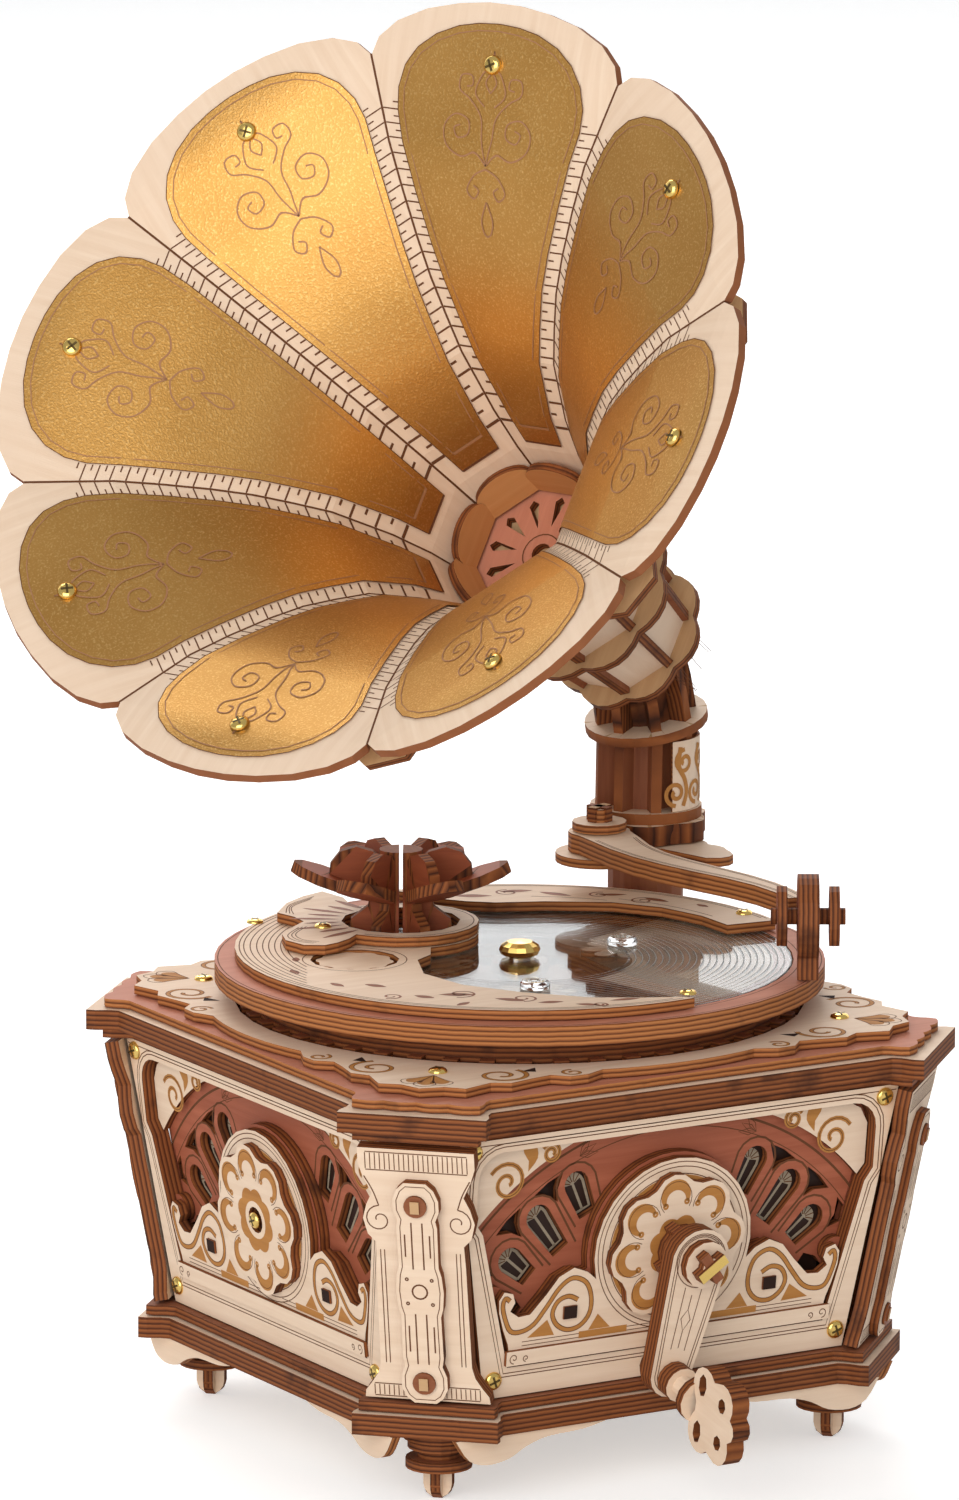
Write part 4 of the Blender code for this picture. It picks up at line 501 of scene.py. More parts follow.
# Cream veneer darkened to stand for cream ply in the shade behind the fret windows: painted shade.
cream_in_painted_shade = veneer("cream_in_painted_shade", (0.40, 0.33, 0.24), (0.30, 0.24, 0.17), (0.36, 0.29, 0.2))
SPRING = (0, -3.6)
FRET_FACE = -4.17
ROSETTE_FACE = 2.02
ROSETTE_LINES = 2.03
FRET_WINDOWS = ((41.0, 40.0, 48.8), (53.0, 38.8, 50.8), (65.0, 41.6, 51.6))


def on_ray(turn, radius):
    return sweep(radius, turn, 0, 1, SPRING)[0]


def window_line(turn, inner_end, outer_end, half):
    """A tall window with a round head, standing on a ray from the arch's spring point."""
    foot = Vector(on_ray(turn, inner_end))
    head = Vector(on_ray(turn, outer_end - half))
    aside = Vector((-math.sin(math.radians(turn)), math.cos(math.radians(turn)))) * half
    near = [tuple(foot - aside * 0.75), tuple(head - aside)]
    round_head = sweep(half, turn - 90, 180, 8, tuple(head))[1:-1]
    return near + round_head + [tuple(head + aside), tuple(foot + aside * 0.75)]


brass = plain("brass", (0.86, 0.60, 0.18), 0.2, 1.0)
# Dark brass for the screws' cross recesses: painted shade.
recess_painted_shade = plain("brass_recess_painted_shade", (0.12, 0.075, 0.02), 0.5, 0.6)
# Near black finish standing for the shaded inside of the box: painted shade.
painted_shade_sheet = plain("painted_shade_backing", (0.030, 0.014, 0.010), 0.45)
window = [(x, y) for x, y in WINDOW] + [(-x, y) for x, y in reversed(WINDOW)]
for side, name in enumerate(SIDES):
    place = wall_place(side)
    veneered(f"panel_frame_{name}", place @ at(0, 0, -3.9), cream, dark_edge)
    fret = bench()
    windows = []
    for way in (1, -1):
        for turn, inner_end, outer_end in FRET_WINDOWS:
            windows.append([(x * way, y) for x, y in window_line(turn, inner_end, outer_end, 2.75)])
        for turn, near in ((47.0, 47.6), (59.0, 48.0), (35.6, 47.0)):
            kite = [on_ray(turn - 4.0, 52.6), on_ray(turn, 53.0), on_ray(turn + 4.0, 52.8),
                    on_ray(turn + 1.2, 50.2), on_ray(turn, near), on_ray(turn - 1.2, 50.2)]
            windows.append(sided(kite, way))
        nook = [(33.6, 19.2), (36.4, 18.2), (37.6, 16.6), (39.6, 15.9), (38.8, 12.4), (34.6, 13.4),
                (31.6, 16.4)]
        windows.append(sided(nook, way))
    board = [(-38.3, 3.1), (38.3, 3.1), (47.6, 52.4), (-47.6, 52.4)]
    cut(fret, place, board, [*windows, hoop(2.7, HUB, 14)], -5.95, -4.2)
    made = placed(f"fret_board_{name}", fret, "case", copper, dark_edge, slot="copper_ply")
    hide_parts(f"arch_fret_{name}")
    veneered(f"scroll_rail_{name}", place @ at(0, 0, -1.9), cream, dark_edge)

    scribed = bench()
    for away, width in ((1.1, 0.22), (1.8, 0.22)):
        line(scribed, place, grown(window, away), width, 0.02, True)
    line(scribed, place, [(50.0, 53.0), (-50.0, 53.0)], 0.2, 0.02)
    for way in (1, -1):
        for shift in (-0.45, 0.45):
            path = sided(RAIL_LINE, way)
            edge_path = []
            for here, point in enumerate(path):
                before = Vector(path[max(here - 1, 0)])
                after = Vector(path[min(here + 1, len(path) - 1)])
                along = (after - before).normalized()
                edge_path.append((point[0] - along.y * shift, point[1] + along.x * shift))
            line(scribed, place, edge_path, 0.16, 0.05)
        for low in (10.2, 11.0):
            line(scribed, place, [(4 * way, low), (33.5 * way, low)], 0.16, 0.02)
        line(scribed, place @ at(0, 0, 0.9), curl((35.6 * way, 8.1), 1.1, 0.2, -90, 420 * way, 16), 0.2, 0.03)
        line(scribed, place @ at(0, 0, 0.9), curl((32.9 * way, 7.9), 0.7, 0.2, -90, 400 * way, 12), 0.2, 0.03)
    for radius in (17.2, 16.2, 14.7):
        line(scribed, place, hoop(radius, HUB, 64), 0.2, 0.02, True)
    line(scribed, place, sweep(53.4, 31, 118, 48, SPRING), 0.2, FRET_FACE)
    line(scribed, place, sweep(56.2, 34, 112, 48, SPRING), 0.5, FRET_FACE)
    for way in (1, -1):
        for turn, inner_end, outer_end in FRET_WINDOWS:
            path = window_line(turn, inner_end - 1, outer_end + 1.9, 4.6)
            line(scribed, place, sided(path, way), 0.45, FRET_FACE)
    for way in (1, -1):
        middle = 90 - 32 * way
        leaf = Vector(sweep(38.4, middle, 0, 1, ARCH)[0])
        for spread in (-26, 0, 26):
            lean = math.radians(middle + 90 * way + spread)
            blade = [tuple(leaf), (leaf.x + 1.8 * math.cos(lean) - 0.7 * math.sin(lean),
                                   leaf.y + 1.8 * math.sin(lean) + 0.7 * math.cos(lean)),
                     (leaf.x + 4.2 * math.cos(lean), leaf.y + 4.2 * math.sin(lean)),
                     (leaf.x + 1.8 * math.cos(lean) + 0.7 * math.sin(lean),
                      leaf.y + 1.8 * math.sin(lean) - 0.7 * math.cos(lean))]
            line(scribed, place, blade, 0.2, FRET_FACE, True)
    for lobe in range(8):
        turn = 7 + 45 * lobe
        middle = sweep(10.4, turn, 0, 1, HUB)[0]
        line(scribed, place, sweep(3.6, turn - 128, 256, 16, middle), 0.15, ROSETTE_LINES)
    placed(f"panel_lines_{name}", scribed, "case", scorch)

    inlay = bench()
    for way in (1, -1):
        line(inlay, place, sided(RAIL_LINE, way), 0.95, 0.03)
        for triangle in (((28.0, 14.9), (26.2, 11.5), (32.4, 11.7)),
                         ((16.4, 14.6), (13.4, 11.5), (18.4, 11.5))):
            patch(inlay, place, sided(triangle, way), 0.03)
    patch(inlay, place, hoop(14.5, HUB, 40), 0.02, [hoop(2.9, HUB, 12)])
    for lobe in range(8):
        turn = 7 + 45 * lobe
        middle = sweep(10.6, turn, 0, 1, HUB)[0]
        horns = sweep(2.75, turn - 118, 236, 18, middle)
        line(inlay, place, horns, [0.6 + 1.7 * math.sin(math.pi * k / 18) for k in range(19)], ROSETTE_FACE)
        for way in (1, -1):
            tip = horns[0] if way < 0 else horns[-1]
            line(inlay, place, hoop(0.45, tip, 8), 0.5, ROSETTE_FACE, True)
    scallops = []
    for turn in range(0, 360, 5):
        radius = 5.9 + 0.9 * abs(math.sin(math.radians(4 * turn)))
        scallops.append(sweep(radius, turn + 7, 0, 1, HUB)[0])
    patch(inlay, place, scallops, ROSETTE_FACE, [hoop(3.9, HUB, 24)])
    placed(f"ochre_inlays_{name}", inlay, "case", ochre)

    corners = bench()
    for way in (1, -1):
        arch = sweep(58.4, 67.0, -25.5, 12, SPRING)
        plate = arch + [(45.4, 37.2), (45.4, 45.7), (43.6, 49.0), (40.3, 50.8)]
        cut(corners, place, sided(plate, way), (), -4.1, -2.6)
        for centre, wide in (((37.6, 43.6), 4.4), ((27.9, 48.6), 2.2)):
            path = curl((centre[0] * way, centre[1]), wide, 0.6, 90 - 60 * way, 560 * way, 30)
            line(corners, place, path, 0.9, -2.57, kind=2)
            line(corners, place, path, 0.16, -2.55, kind=3)
        leaf = eased([(33.0, 47.6), (34.4, 50.2), (31.6, 50.6), (31.0, 48.0), (33.0, 45.4)], 3)
        patch(corners, place, sided(leaf, way), -2.57, kind=2)
    placed(f"corner_plates_{name}", corners, "case", cream, dark_edge, ochre, scorch, slot="cream_ply")

    core = bench()
    right = [(35.6, 7.0), (37.2, 13.2), (35.6, 14.6), (32.0, 15.4), (28.4, 19.2), (25.6, 22.6), (22.4, 24.0),
             (19.2, 23.4)]
    hood = right + sweep(18.6, -10, 200, 24, HUB) + [(-x, y) for x, y in reversed(right)]
    cut(core, place, hood, [hoop(2.8, HUB, 14)], -4.15, -1.95)
    for way in (1, -1):
        cut(core, place, hoop(2.9, (39.6 * way, 19.6), 18), (), -4.15, -2.2)
    placed(f"rail_core_{name}", core, "case", copper, dark_edge, slot="copper_ply")

    # A near black sheet behind the fret's windows: painted shade where the box's inside is dark.
    glass = bench()
    cut(glass, place, block(-38.2, 38.2, 2.6, 52.6), [hoop(2.7, HUB, 14)], -6.75, -6.25)
    placed(f"painted_shade_backing_{name}", glass, "case", painted_shade_sheet, painted_shade_sheet)

    # The cream tracery behind the fret windows takes the darkened cream finish: painted shade.
    tracery = bench()
    for way in (1, -1):
        for turn, inner_end, outer_end in FRET_WINDOWS:
            path = window_line(turn, inner_end + 0.4, outer_end - 1.6, 2.3)
            line(tracery, place, [(x * way, y) for x, y in path + path[:1]], 0.6, -6.2)
            ray = [on_ray(turn, inner_end + 0.4), on_ray(turn, outer_end - 3.4)]
            line(tracery, place, sided(ray, way), 0.55, -6.2)
            fan = on_ray(turn, outer_end - 3.6)
            head = [tuple(fan)] + sweep(2.5, turn - 75, 150, 8, fan)
            patch(tracery, place, sided(head, way), -6.18)
            for spread in (-56, -28, 0, 28, 56):
                rib = [sweep(0.6, turn + spread, 0, 1, fan)[0], sweep(2.5, turn + spread, 0, 1, fan)[0]]
                line(tracery, place, sided(rib, way), 0.22, -6.16, kind=1)
    placed(f"window_tracery_{name}", tracery, "case", cream_in_painted_shade, scorch, slot="cream_ply")

    screws = bench()
    for x, y in ((47.3, 51.8), (-47.3, 51.8), (39.6, 3.7), (-39.6, 3.7)):
        screw(screws, place @ at(x, y), 1.9, 0.9)
    if side:
        screw(screws, place @ at(*HUB, 2.0), 1.7, 0.9)
    placed(f"panel_screws_{name}", screws, "case", brass, recess_painted_shade, slot="brass")

    bar = bench()
    cut(bar, place, grown(block(-37.0, 37.0, 6.9, 9.3), 0.3), (), 0.03, 0.9)
    cut(bar, place, block(-20.5, -9.5, 10.0, 11.4), (), 0.02, 0.05, 2, 2)
    cut(bar, place, block(9.5, 20.5, 10.0, 11.4), (), 0.02, 0.05, 2, 2)
    # The two small squares at the scroll eyes have near black tops of painted shade.
    for x in (-23.0, 23.0):
        cut(bar, place @ at(x, 15.9), block(-1.5, 1.5, -1.3, 1.3), (), 0.05, 0.5, 3, 1)
    placed(f"rail_bar_{name}", bar, "case", cream, dark_edge, ochre, shadow_brown, slot="cream_ply")

# Corner pilasters: a flared cream board with volutes and hatched bands at its head and foot,
# and a narrow keyhole plate held to it by two round dark pegs.
PILASTER_LEAN = math.radians(11.26)
BOARD_FACE = 3.03
KEY_FACE = 4.93
KEY_HALVES = [(1.2, 2.2), (2.4, 3.7), (4.3, 4.6), (7.0, 4.6), (9.2, 3.8), (11.0, 4.1), (20.0, 4.0), (21.7, 4.5),
              (25.2, 4.8), (28.7, 4.5), (30.5, 4.0), (39.0, 4.1), (40.5, 3.8), (42.4, 4.6), (44.8, 4.6),
              (47.0, 3.7), (48.4, 2.2)]
for side, name in enumerate(("front_left", "front_right", "back_right", "back_left")):
    place = (turned(math.radians(90 * side - 45)) @ at(0, -69.2, 21.6)
             @ Matrix.Rotation(math.radians(90) + PILASTER_LEAN, 4, "X") @ at(0, 0, 0.3))
    veneered(f"pilaster_{name}", place, cream, dark_edge)
    lines = bench()
    for low, high, half in ((1.4, 4.0, 10.6), (50.0, 53.8, 10.2)):
        for y in (low, high):
            line(lines, place, [(-half, y), (half, y)], 0.22, BOARD_FACE)
        count = int(half * 2 / 0.95)
        for step in range(count + 1):
            x = -half + 2 * half * step / count
            line(lines, place, [(x, low + 0.2), (x, high - 0.2)], 0.2, BOARD_FACE)
    for way in (1, -1):
        for inset in (8.0, 7.2):
            line(lines, place, [(inset * way, 8.6), (inset * way, 33.0)], 0.2, BOARD_FACE)
        line(lines, place, curl((7.9 * way, 39.4), 3.0, 0.6, 90, -460 * way), 0.25, BOARD_FACE)
        stem = eased([(10.6 * way, 48.6), (9.0 * way, 45.6), (7.9 * way, 42.4)], 4)
        line(lines, place, stem, 0.25, BOARD_FACE)
        for low, high in ((9.6, 20.4), (30.0, 40.0)):
            line(lines, place, [(1.1 * way, low), (1.1 * way, high)], 0.3, KEY_FACE)
            line(lines, place, [(2.5 * way, low + 2.6), (2.5 * way, high - 2.6)], 0.3, KEY_FACE)
        line(lines, place, hoop(0.28, (2.5 * way, 22.6), 8), 0.3, KEY_FACE, True)
        line(lines, place, hoop(0.28, (2.5 * way, 27.8), 8), 0.3, KEY_FACE, True)
    outline = [(half, y) for y, half in KEY_HALVES] + [(-half, y) for y, half in reversed(KEY_HALVES)]
    line(lines, place, grown(outline, -0.75), 0.18, KEY_FACE, True)
    line(lines, place, hoop(1.5, (0, 25.2), 16), 0.35, KEY_FACE, True)
    placed(f"pilaster_lines_{name}", lines, "case", scorch)
    pegs = bench()
    for y in (5.6, 43.6):
        cut(pegs, place @ at(0, y), hoop(2.3, steps=18), (), 4.92, 5.5, 0, 1)
        cut(pegs, place @ at(0, y), block(-0.9, 0.9, -1.3, 1.3), (), 5.5, 5.9, 2, 1)
    placed(f"pilaster_pegs_{name}", pegs, "case", brown, dark_edge, tan)

# Cornice of three plates, the red plate and the deck ring on it, stacked and screwed at the corners.
# The deck ring's corners are cut as a three lobed palmette between double scrolls, inlaid with ochre.
veneered("cornice_plate", at(0, 0, 75.9), cream, dark_edge)
veneered("red_plate", at(0, 0, 82.3), rose, warm_edge)
veneered("deck_ring", at(0, 0, 84.3), cream, warm_edge)
deck_lines = bench()
deck_ochre = bench()
deck_screws = bench()
for side in range(4):
    own = turned(math.radians(45 + 90 * side)) @ at(0, 0, 86.1)
    for lean, length in ((0, 9.6), (28, 8.6), (-28, 8.6)):
        leaf = own @ at(68.6, 0) @ turned(math.radians(lean))
        drop = eased([(0, 0), (length * 0.45, 1.1), (length * 0.8, 2.2), (length, 0), (length * 0.8, -2.2),
                      (length * 0.45, -1.1), (0, 0)], 4)[:-1]
        patch(deck_ochre, leaf, [(x * 0.86, y * 0.8) for x, y in drop], 0.02)
        line(deck_lines, leaf, drop, 0.2, 0.03, True)
    for way in (1, -1):
        spin = turned(math.radians(11.0 * way))
        path = curl((66.4, 0), 5.4, 1.0, 150 * way, -520 * way, 34)
        line(deck_ochre, own @ spin, path, 1.0, 0.02)
        for shift in (0.5, -0.5):
            side_line = curl((66.4, 0), 5.4 + shift, 1.0 + shift * 0.6, 150 * way, -520 * way, 34)
            line(deck_lines, own @ spin, side_line, 0.16, 0.03)
        end = own @ turned(math.radians(23.4 * way))
        line(deck_ochre, end, curl((64.4, 0), 2.3, 0.5, 180, 460 * way), 0.6, 0.02)
        line(deck_lines, end, curl((64.4, 0), 2.65, 0.8, 180, 460 * way), 0.16, 0.03)
        # A triangular hole beside each corner screw, filled with near black painted shade.
        hole = own @ turned(math.radians(15.6 * way)) @ at(61.4, 0)
        patch(deck_lines, hole, [(1.6, -1.5 * way), (1.9, 1.5 * way), (-1.5, 1.4 * way)], 0.03, kind=1)
    screw(deck_screws, own @ at(65.6, 0), 1.9, 0.9, 35)
placed("deck_lines", deck_lines, "case", scorch, shadow_brown)
placed("deck_inlay", deck_ochre, "case", ochre)
placed("deck_screws", deck_screws, "case", brass, recess_painted_shade, slot="brass")

# The drive under the record: a fixed post, the sleeve that turns on it with its crown wheel,
# the spider that carries the rim, and three small gears. All of it is dark stained plywood.
veneered("record_post", at(0, 0, 19.3), brown, brown)
veneered("turntable_sleeve", at(0, 0, 59.1), brown, dark_edge)
veneered("turntable_spider", at(0, 0, 84.6), brown, dark_edge)
veneered("flower_gear", at(0, 0, 87.3), tan, warm_edge)
veneered("movement_bed", at(0, 0, 19.3), cream, warm_edge)
teeth = bench()
for step in range(48):
    own = turned(math.radians(7.5 * step))
    cut(teeth, own, block(51.0, 56.2, -1.5, 1.5), (), 84.7, 86.4)
placed("rim_teeth", teeth, "turntable", brown, dark_edge)
inner = bench()
cut(inner, BASE, hoop(56.4, steps=64), [hoop(47.0, steps=64)], 82.32, 82.75)
placed("deck_lining", inner, "case", cream, warm_edge, slot="cream_ply")

# Turntable rim of copper stained ply, the clear acrylic record with its fine grooves,
# the brass knob, and two clear pegs that hold little cream wheels under the record.
veneered("turntable_rim", at(0, 0, 90.6), rose, warm_edge)
acrylic = plain("clear_acrylic", (0.95, 0.97, 0.97), 0.03)
tree = acrylic.node_tree
shader = tree.nodes["Principled BSDF"]
shader.inputs["Transmission Weight"].default_value = 1.0
shader.inputs["IOR"].default_value = 1.49
where = node(tree, "ShaderNodeTexCoord")
spindle = (-CENTRED.translation.x * MM, -CENTRED.translation.y * MM, 0)
moved = node(tree, "ShaderNodeMapping", {"Vector": where.outputs["Object"], "Location": spindle})
flat = node(tree, "ShaderNodeVectorMath", {0: moved.outputs[0], 1: (1, 1, 0)}, operation="MULTIPLY")
far = node(tree, "ShaderNodeVectorMath", {0: flat.outputs[0]}, operation="LENGTH")
round_and_round = node(tree, "ShaderNodeMath", {0: far.outputs["Value"], 1: 2 * math.pi / (1.35 * MM)},
                       operation="MULTIPLY")
wave = node(tree, "ShaderNodeMath", {0: round_and_round.outputs[0]}, operation="SINE")
thin = ramp(tree, wave.outputs[0], 0.86, 0.99)
outer = ramp(tree, far.outputs["Value"], 0.0215, 0.0225)
groove = node(tree, "ShaderNodeMath", {0: thin, 1: outer}, operation="MULTIPLY")
frosted = node(tree, "ShaderNodeMath", {0: groove.outputs[0], 1: 0.45, 2: 0.03}, operation="MULTIPLY_ADD")
tree.links.new(frosted.outputs[0], shader.inputs["Roughness"])
bump = node(tree, "ShaderNodeBump", {"Strength": 0.6, "Distance": 0.00015, "Height": groove.outputs[0]})
tree.links.new(bump.outputs[0], shader.inputs["Normal"])
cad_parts["record_disc"].data.materials.clear()
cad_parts["record_disc"].data.materials.append(acrylic)
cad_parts["centre_knob"].data.materials.clear()
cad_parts["centre_knob"].data.materials.append(brass)


def spun(heap, place, profile, steps=20, kind=0):
    """A turned piece from radii and heights, closed on its axis."""
    rows = []
    for radius, height in profile:
        if radius == 0:
            rows.append([corner(heap, place, 0, 0, height)] * steps)
            continue
        rows.append([corner(heap, place, radius * math.cos(2 * math.pi * k / steps),
                            radius * math.sin(2 * math.pi * k / steps), height) for k in range(steps)])
    for low, top in zip(rows, rows[1:]):
        for k in range(steps):
            loop = []
            for point in (low[k], low[(k + 1) % steps], top[(k + 1) % steps], top[k]):
                if point not in loop:
                    loop.append(point)
            if len(loop) > 2:
                made = heap.faces.new(loop)
                made.material_index = kind
                made.smooth = True


def wheel_outline(petals, far_out, near, steps=8):
    points = []
    for step in range(petals * steps):
        share = abs(math.sin(math.pi * step / steps))
        radius = near + (far_out - near) * share ** 0.6
        bearing = 2 * math.pi * step / (petals * steps)
        points.append((radius * math.cos(bearing), radius * math.sin(bearing)))
    return points


pegs = bench()
for x, y in ((23.8, -0.4), (-11.6, -25.2)):
    spun(pegs, at(x, y, 94.62), [(0, 0.9), (1.3, 0.9), (1.6, 1.5), (2.6, 1.5), (3.0, 1.1), (3.0, 0.05),
                                 (0, 0.05)])
clear = plain("clear_peg", (0.93, 0.95, 0.96), 0.04)
clear.node_tree.nodes["Principled BSDF"].inputs["Transmission Weight"].default_value = 1.0
placed("record_pegs", pegs, "case", clear, slot="clear_acrylic")
wheels = bench()
cut(wheels, at(23.8, -0.4), wheel_outline(8, 8.4, 4.4), [hoop(1.4, steps=10)], 90.6, 92.3)
cut(wheels, at(-11.6, -25.2), wheel_outline(8, 8.4, 4.4), [hoop(1.4, steps=10)], 90.6, 92.3)
placed("hidden_wheels", wheels, "case", cream, warm_edge, slot="cream_ply")
seat = bench()
line(seat, BASE, hoop(60.4, steps=96), 0.2, 94.63, True)
line(seat, BASE, hoop(56.0, steps=96), 0.2, 94.63, True)
placed("rim_lines", seat, "turntable", scorch)

# Cream overlays on the record: the crescent with its window, the rear arc and the raised wing.
# Each follows its outer edge with scribed contour lines, and leaf shaped slots are cut through it.
for name, low in (("crescent_overlay", 94.9), ("rear_arc_overlay", 94.9), ("wing_overlay", 97.2)):
    veneered(name, at(0, 0, low), cream, warm_edge)
veneered("window_wheel", at(0, 0, 94.9), cream, warm_edge)
TOP = at(0, 0, 96.9)
FLOWER_AT = (-14, 23.1)
WHEEL_AT = (-34.8, 5.8)
# Near black discs of painted shade under the window wheel and under the flower, and a cream band, all below the
# record.
under = bench()
patch(under, at(*WHEEL_AT), hoop(8.85, steps=28), 94.64, [hoop(1.7, steps=10)])
patch(under, at(*FLOWER_AT), hoop(11.9, steps=28), 92.7, [hoop(3.2, steps=10)])
patch(under, BASE, sweep(50.8, -78, 100, 40) + sweep(22.5, 22, -100, 30), 92.55, kind=1)
placed("window_shade", under, "case", shadow_brown, cream)


def leaf(heap, place, length, width, kind=0, height=0.03):
    blade = [(0, 0), (length * 0.3, width * 0.42), (length * 0.62, width * 0.5), (length, 0),
             (length * 0.62, -width * 0.5), (length * 0.3, -width * 0.42)]
    patch(heap, place, eased(blade + blade[:1], 3)[:-1], height, kind=kind)


over = bench()
for radius, start, span in ((56.1, 108, 166), (55.2, 112, 160), (53.9, 122, 66), (52.6, 124, 62),
                            (51.4, 126, 58), (50.2, 128, 54), (49.0, 130, 50), (47.8, 133, 44),
                            (46.6, 136, 38)):
    line(over, TOP, sweep(radius, start, span, 60), 0.22, 0.03)
line(over, TOP, hoop(10.4, WHEEL_AT, 40), 0.2, 0.03, True)
line(over, TOP, sweep(14.8, -96, 180, 30, FLOWER_AT), 0.2, 0.03)
for bearing, radius, length, width, lean in (
        (204, 45.5, 5.0, 2.0, 120), (214, 49.0, 4.6, 2.0, 300), (219, 46.4, 7.0, 2.4, 330),
        (228, 50.8, 4.0, 1.6, 200), (233, 47.0, 6.4, 2.2, 310), (243, 50.4, 5.2, 1.8, 340),
        (251, 52.4, 5.0, 1.8, 320), (259, 51.4, 6.5, 1.6, 350),
        (196, 50.6, 4.2, 1.7, 100), (180, 51.0, 4.4, 1.6, 80), (168, 47.0, 4.0, 1.5, 60)):
    own = TOP @ turned(math.radians(bearing)) @ at(radius, 0) @ turned(math.radians(lean - bearing))
    leaf(over, own, length, width, 1)
for bearing, radius, wide in ((224, 44.4, 3.2), (240, 46.6, 2.8), (256, 54.0, 1.6), (210, 51.8, 2.2)):
    middle = sweep(radius, bearing, 0, 1)[0]
    line(over, TOP, curl(middle, wide, 0.5, bearing, 480), 0.5, 0.03, kind=1)
for radius, start, span in ((56.1, -4, 88), (55.3, -3, 84), (47.6, 4, 30), (45.4, 36, 20)):
    line(over, TOP, sweep(radius, start, span, 50), 0.22, 0.03)
for bearing, radius, length, width, lean in (
        (22, 50.5, 6.5, 2.0, 110), (34, 52.0, 6.0, 1.8, 150), (46, 47.0, 7.5, 2.2, 120),
        (56, 51.0, 7.0, 2.2, 160),
        (66, 46.0, 8.0, 2.6, 150), (74, 50.0, 6.0, 2.2, 190), (12, 52.4, 3.6, 1.5, 100)):
    own = TOP @ turned(math.radians(bearing)) @ at(radius, 0) @ turned(math.radians(lean - bearing))
    leaf(over, own, length, width, 1)
for bearing, radius, wide in ((28, 48.6, 2.8), (40, 49.8, 2.4), (62, 49.0, 2.6)):
    middle = sweep(radius, bearing, 0, 1)[0]
    line(over, TOP, curl(middle, wide, 0.5, bearing, 480), 0.45, 0.03, kind=1)
HIGH = at(0, 0, 99.2)
for step in range(9):
    spike = HIGH @ at(*FLOWER_AT) @ turned(math.radians(96 + 12.5 * step)) @ at(12.3, 0)
    leaf(over, spike, 7.4 if step % 2 else 10.4, 1.6, 1)
line(over, HIGH, sweep(14.7, -150, 246, 40, FLOWER_AT), 0.2, 0.03)
for inset in (0.9, 1.8, 2.7):
    path = [(-17.4 - inset, 51.6 - inset), (-26.0 - inset * 0.3, 47.4 - inset),
            (-31.0 + inset * 0.4, 41.4 - inset)]
    line(over, HIGH, eased(path, 4), 0.2, 0.03)
    path = [(-36.0 + inset, 27.6), (-41.4 + inset, 22.6), (-42.6 + inset, 17.6),
            (-40.6 + inset, 13.2 + inset * 0.5)]
    line(over, HIGH, eased(path, 4), 0.2, 0.03)
placed("overlay_lines", over, "case", scorch, brown)
pins = bench()
for x, y, z in ((-35.4, 44.8, 96.9), (-30.7, 25.6, 99.2), (6.8, -52.9, 96.9), (54.4, 2.3, 96.9)):
    screw(pins, at(x, y, z), 1.7, 0.8, 15)
placed("overlay_screws", pins, "case", brass, recess_painted_shade, slot="brass")

# The standing flower in two halves: slotted ribs and slanting leaves of red brown stained ply.
petal_red = veneer("flower_veneer", (0.34, 0.088, 0.034), (0.22, 0.050, 0.020), (0.28, 0.07, 0.028))
for name in ("flower_half_a", "flower_half_b"):
    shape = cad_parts[name].data
    shape.materials.clear()
    for look in (petal_red, dark_edge):
        shape.materials.append(look)
    store = shape.attributes.new("sheet", "FLOAT_VECTOR", "POINT")
    for point in shape.vertices:
        store.data[point.index].vector = (point.co.x, point.co.z, point.co.y)
    for side in shape.polygons:
        side.material_index = 0 if side.area > 7.5e-6 else 1

# The gramophone's column: ribs and round plates slotted together on a dark post, with a bent skin
# of thin cream veneer on its right and back, engraved with ochre scrolls.
POST = at(57.5, 45.5)
COLUMN = POST @ turned(math.radians(205))
veneered("column_base", COLUMN @ at(0, 0, 86.4), brown, brown)
veneered("tonearm_shelf", at(0, 0, 102.8), cream, warm_edge)
veneered("column", COLUMN @ at(0, 0, 105.0), tan, dark_edge)
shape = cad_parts["column"].data
shape.materials.append(brown)
shape.materials.append(cream)
for side in shape.polygons:
    spot = (CENTRED.inverted() @ (side.center / MM)) - Vector((57.5, 45.5, 0))
    if side.normal.z > 0.85 and side.area > 1e-6:
        side.material_index = 3
    elif math.hypot(spot.x, spot.y) < 9.4 and spot.z < 129 and abs(side.normal.z) < 0.5:
        side.material_index = 2

skin = bench()


def bent_skin(heap, place, radius, start, span, low, high, thick=0.5, steps=14):
    """A thin sheet bent round a post; its face is the first finish and its edges the second."""
    rows = []
    for z in (low, high):
        for r in (radius, radius + thick):
            rows.append([corner(heap, place, *sweep(r, start + span * k / steps, 0, 1)[0], z)
                         for k in range(steps + 1)])
    low_in, low_out, high_in, high_out = rows
    for k in range(steps):
        heap.faces.new((low_out[k], low_out[k + 1], high_out[k + 1], high_out[k])).material_index = 0
        heap.faces.new((low_in[k], high_in[k], high_in[k + 1], low_in[k + 1])).material_index = 0
        heap.faces.new((low_in[k], low_in[k + 1], low_out[k + 1], low_out[k])).material_index = 1
        heap.faces.new((high_in[k], high_out[k], high_out[k + 1], high_in[k + 1])).material_index = 1
    for k in (0, steps):
        heap.faces.new((low_in[k], low_out[k], high_out[k], high_in[k])).material_index = 1


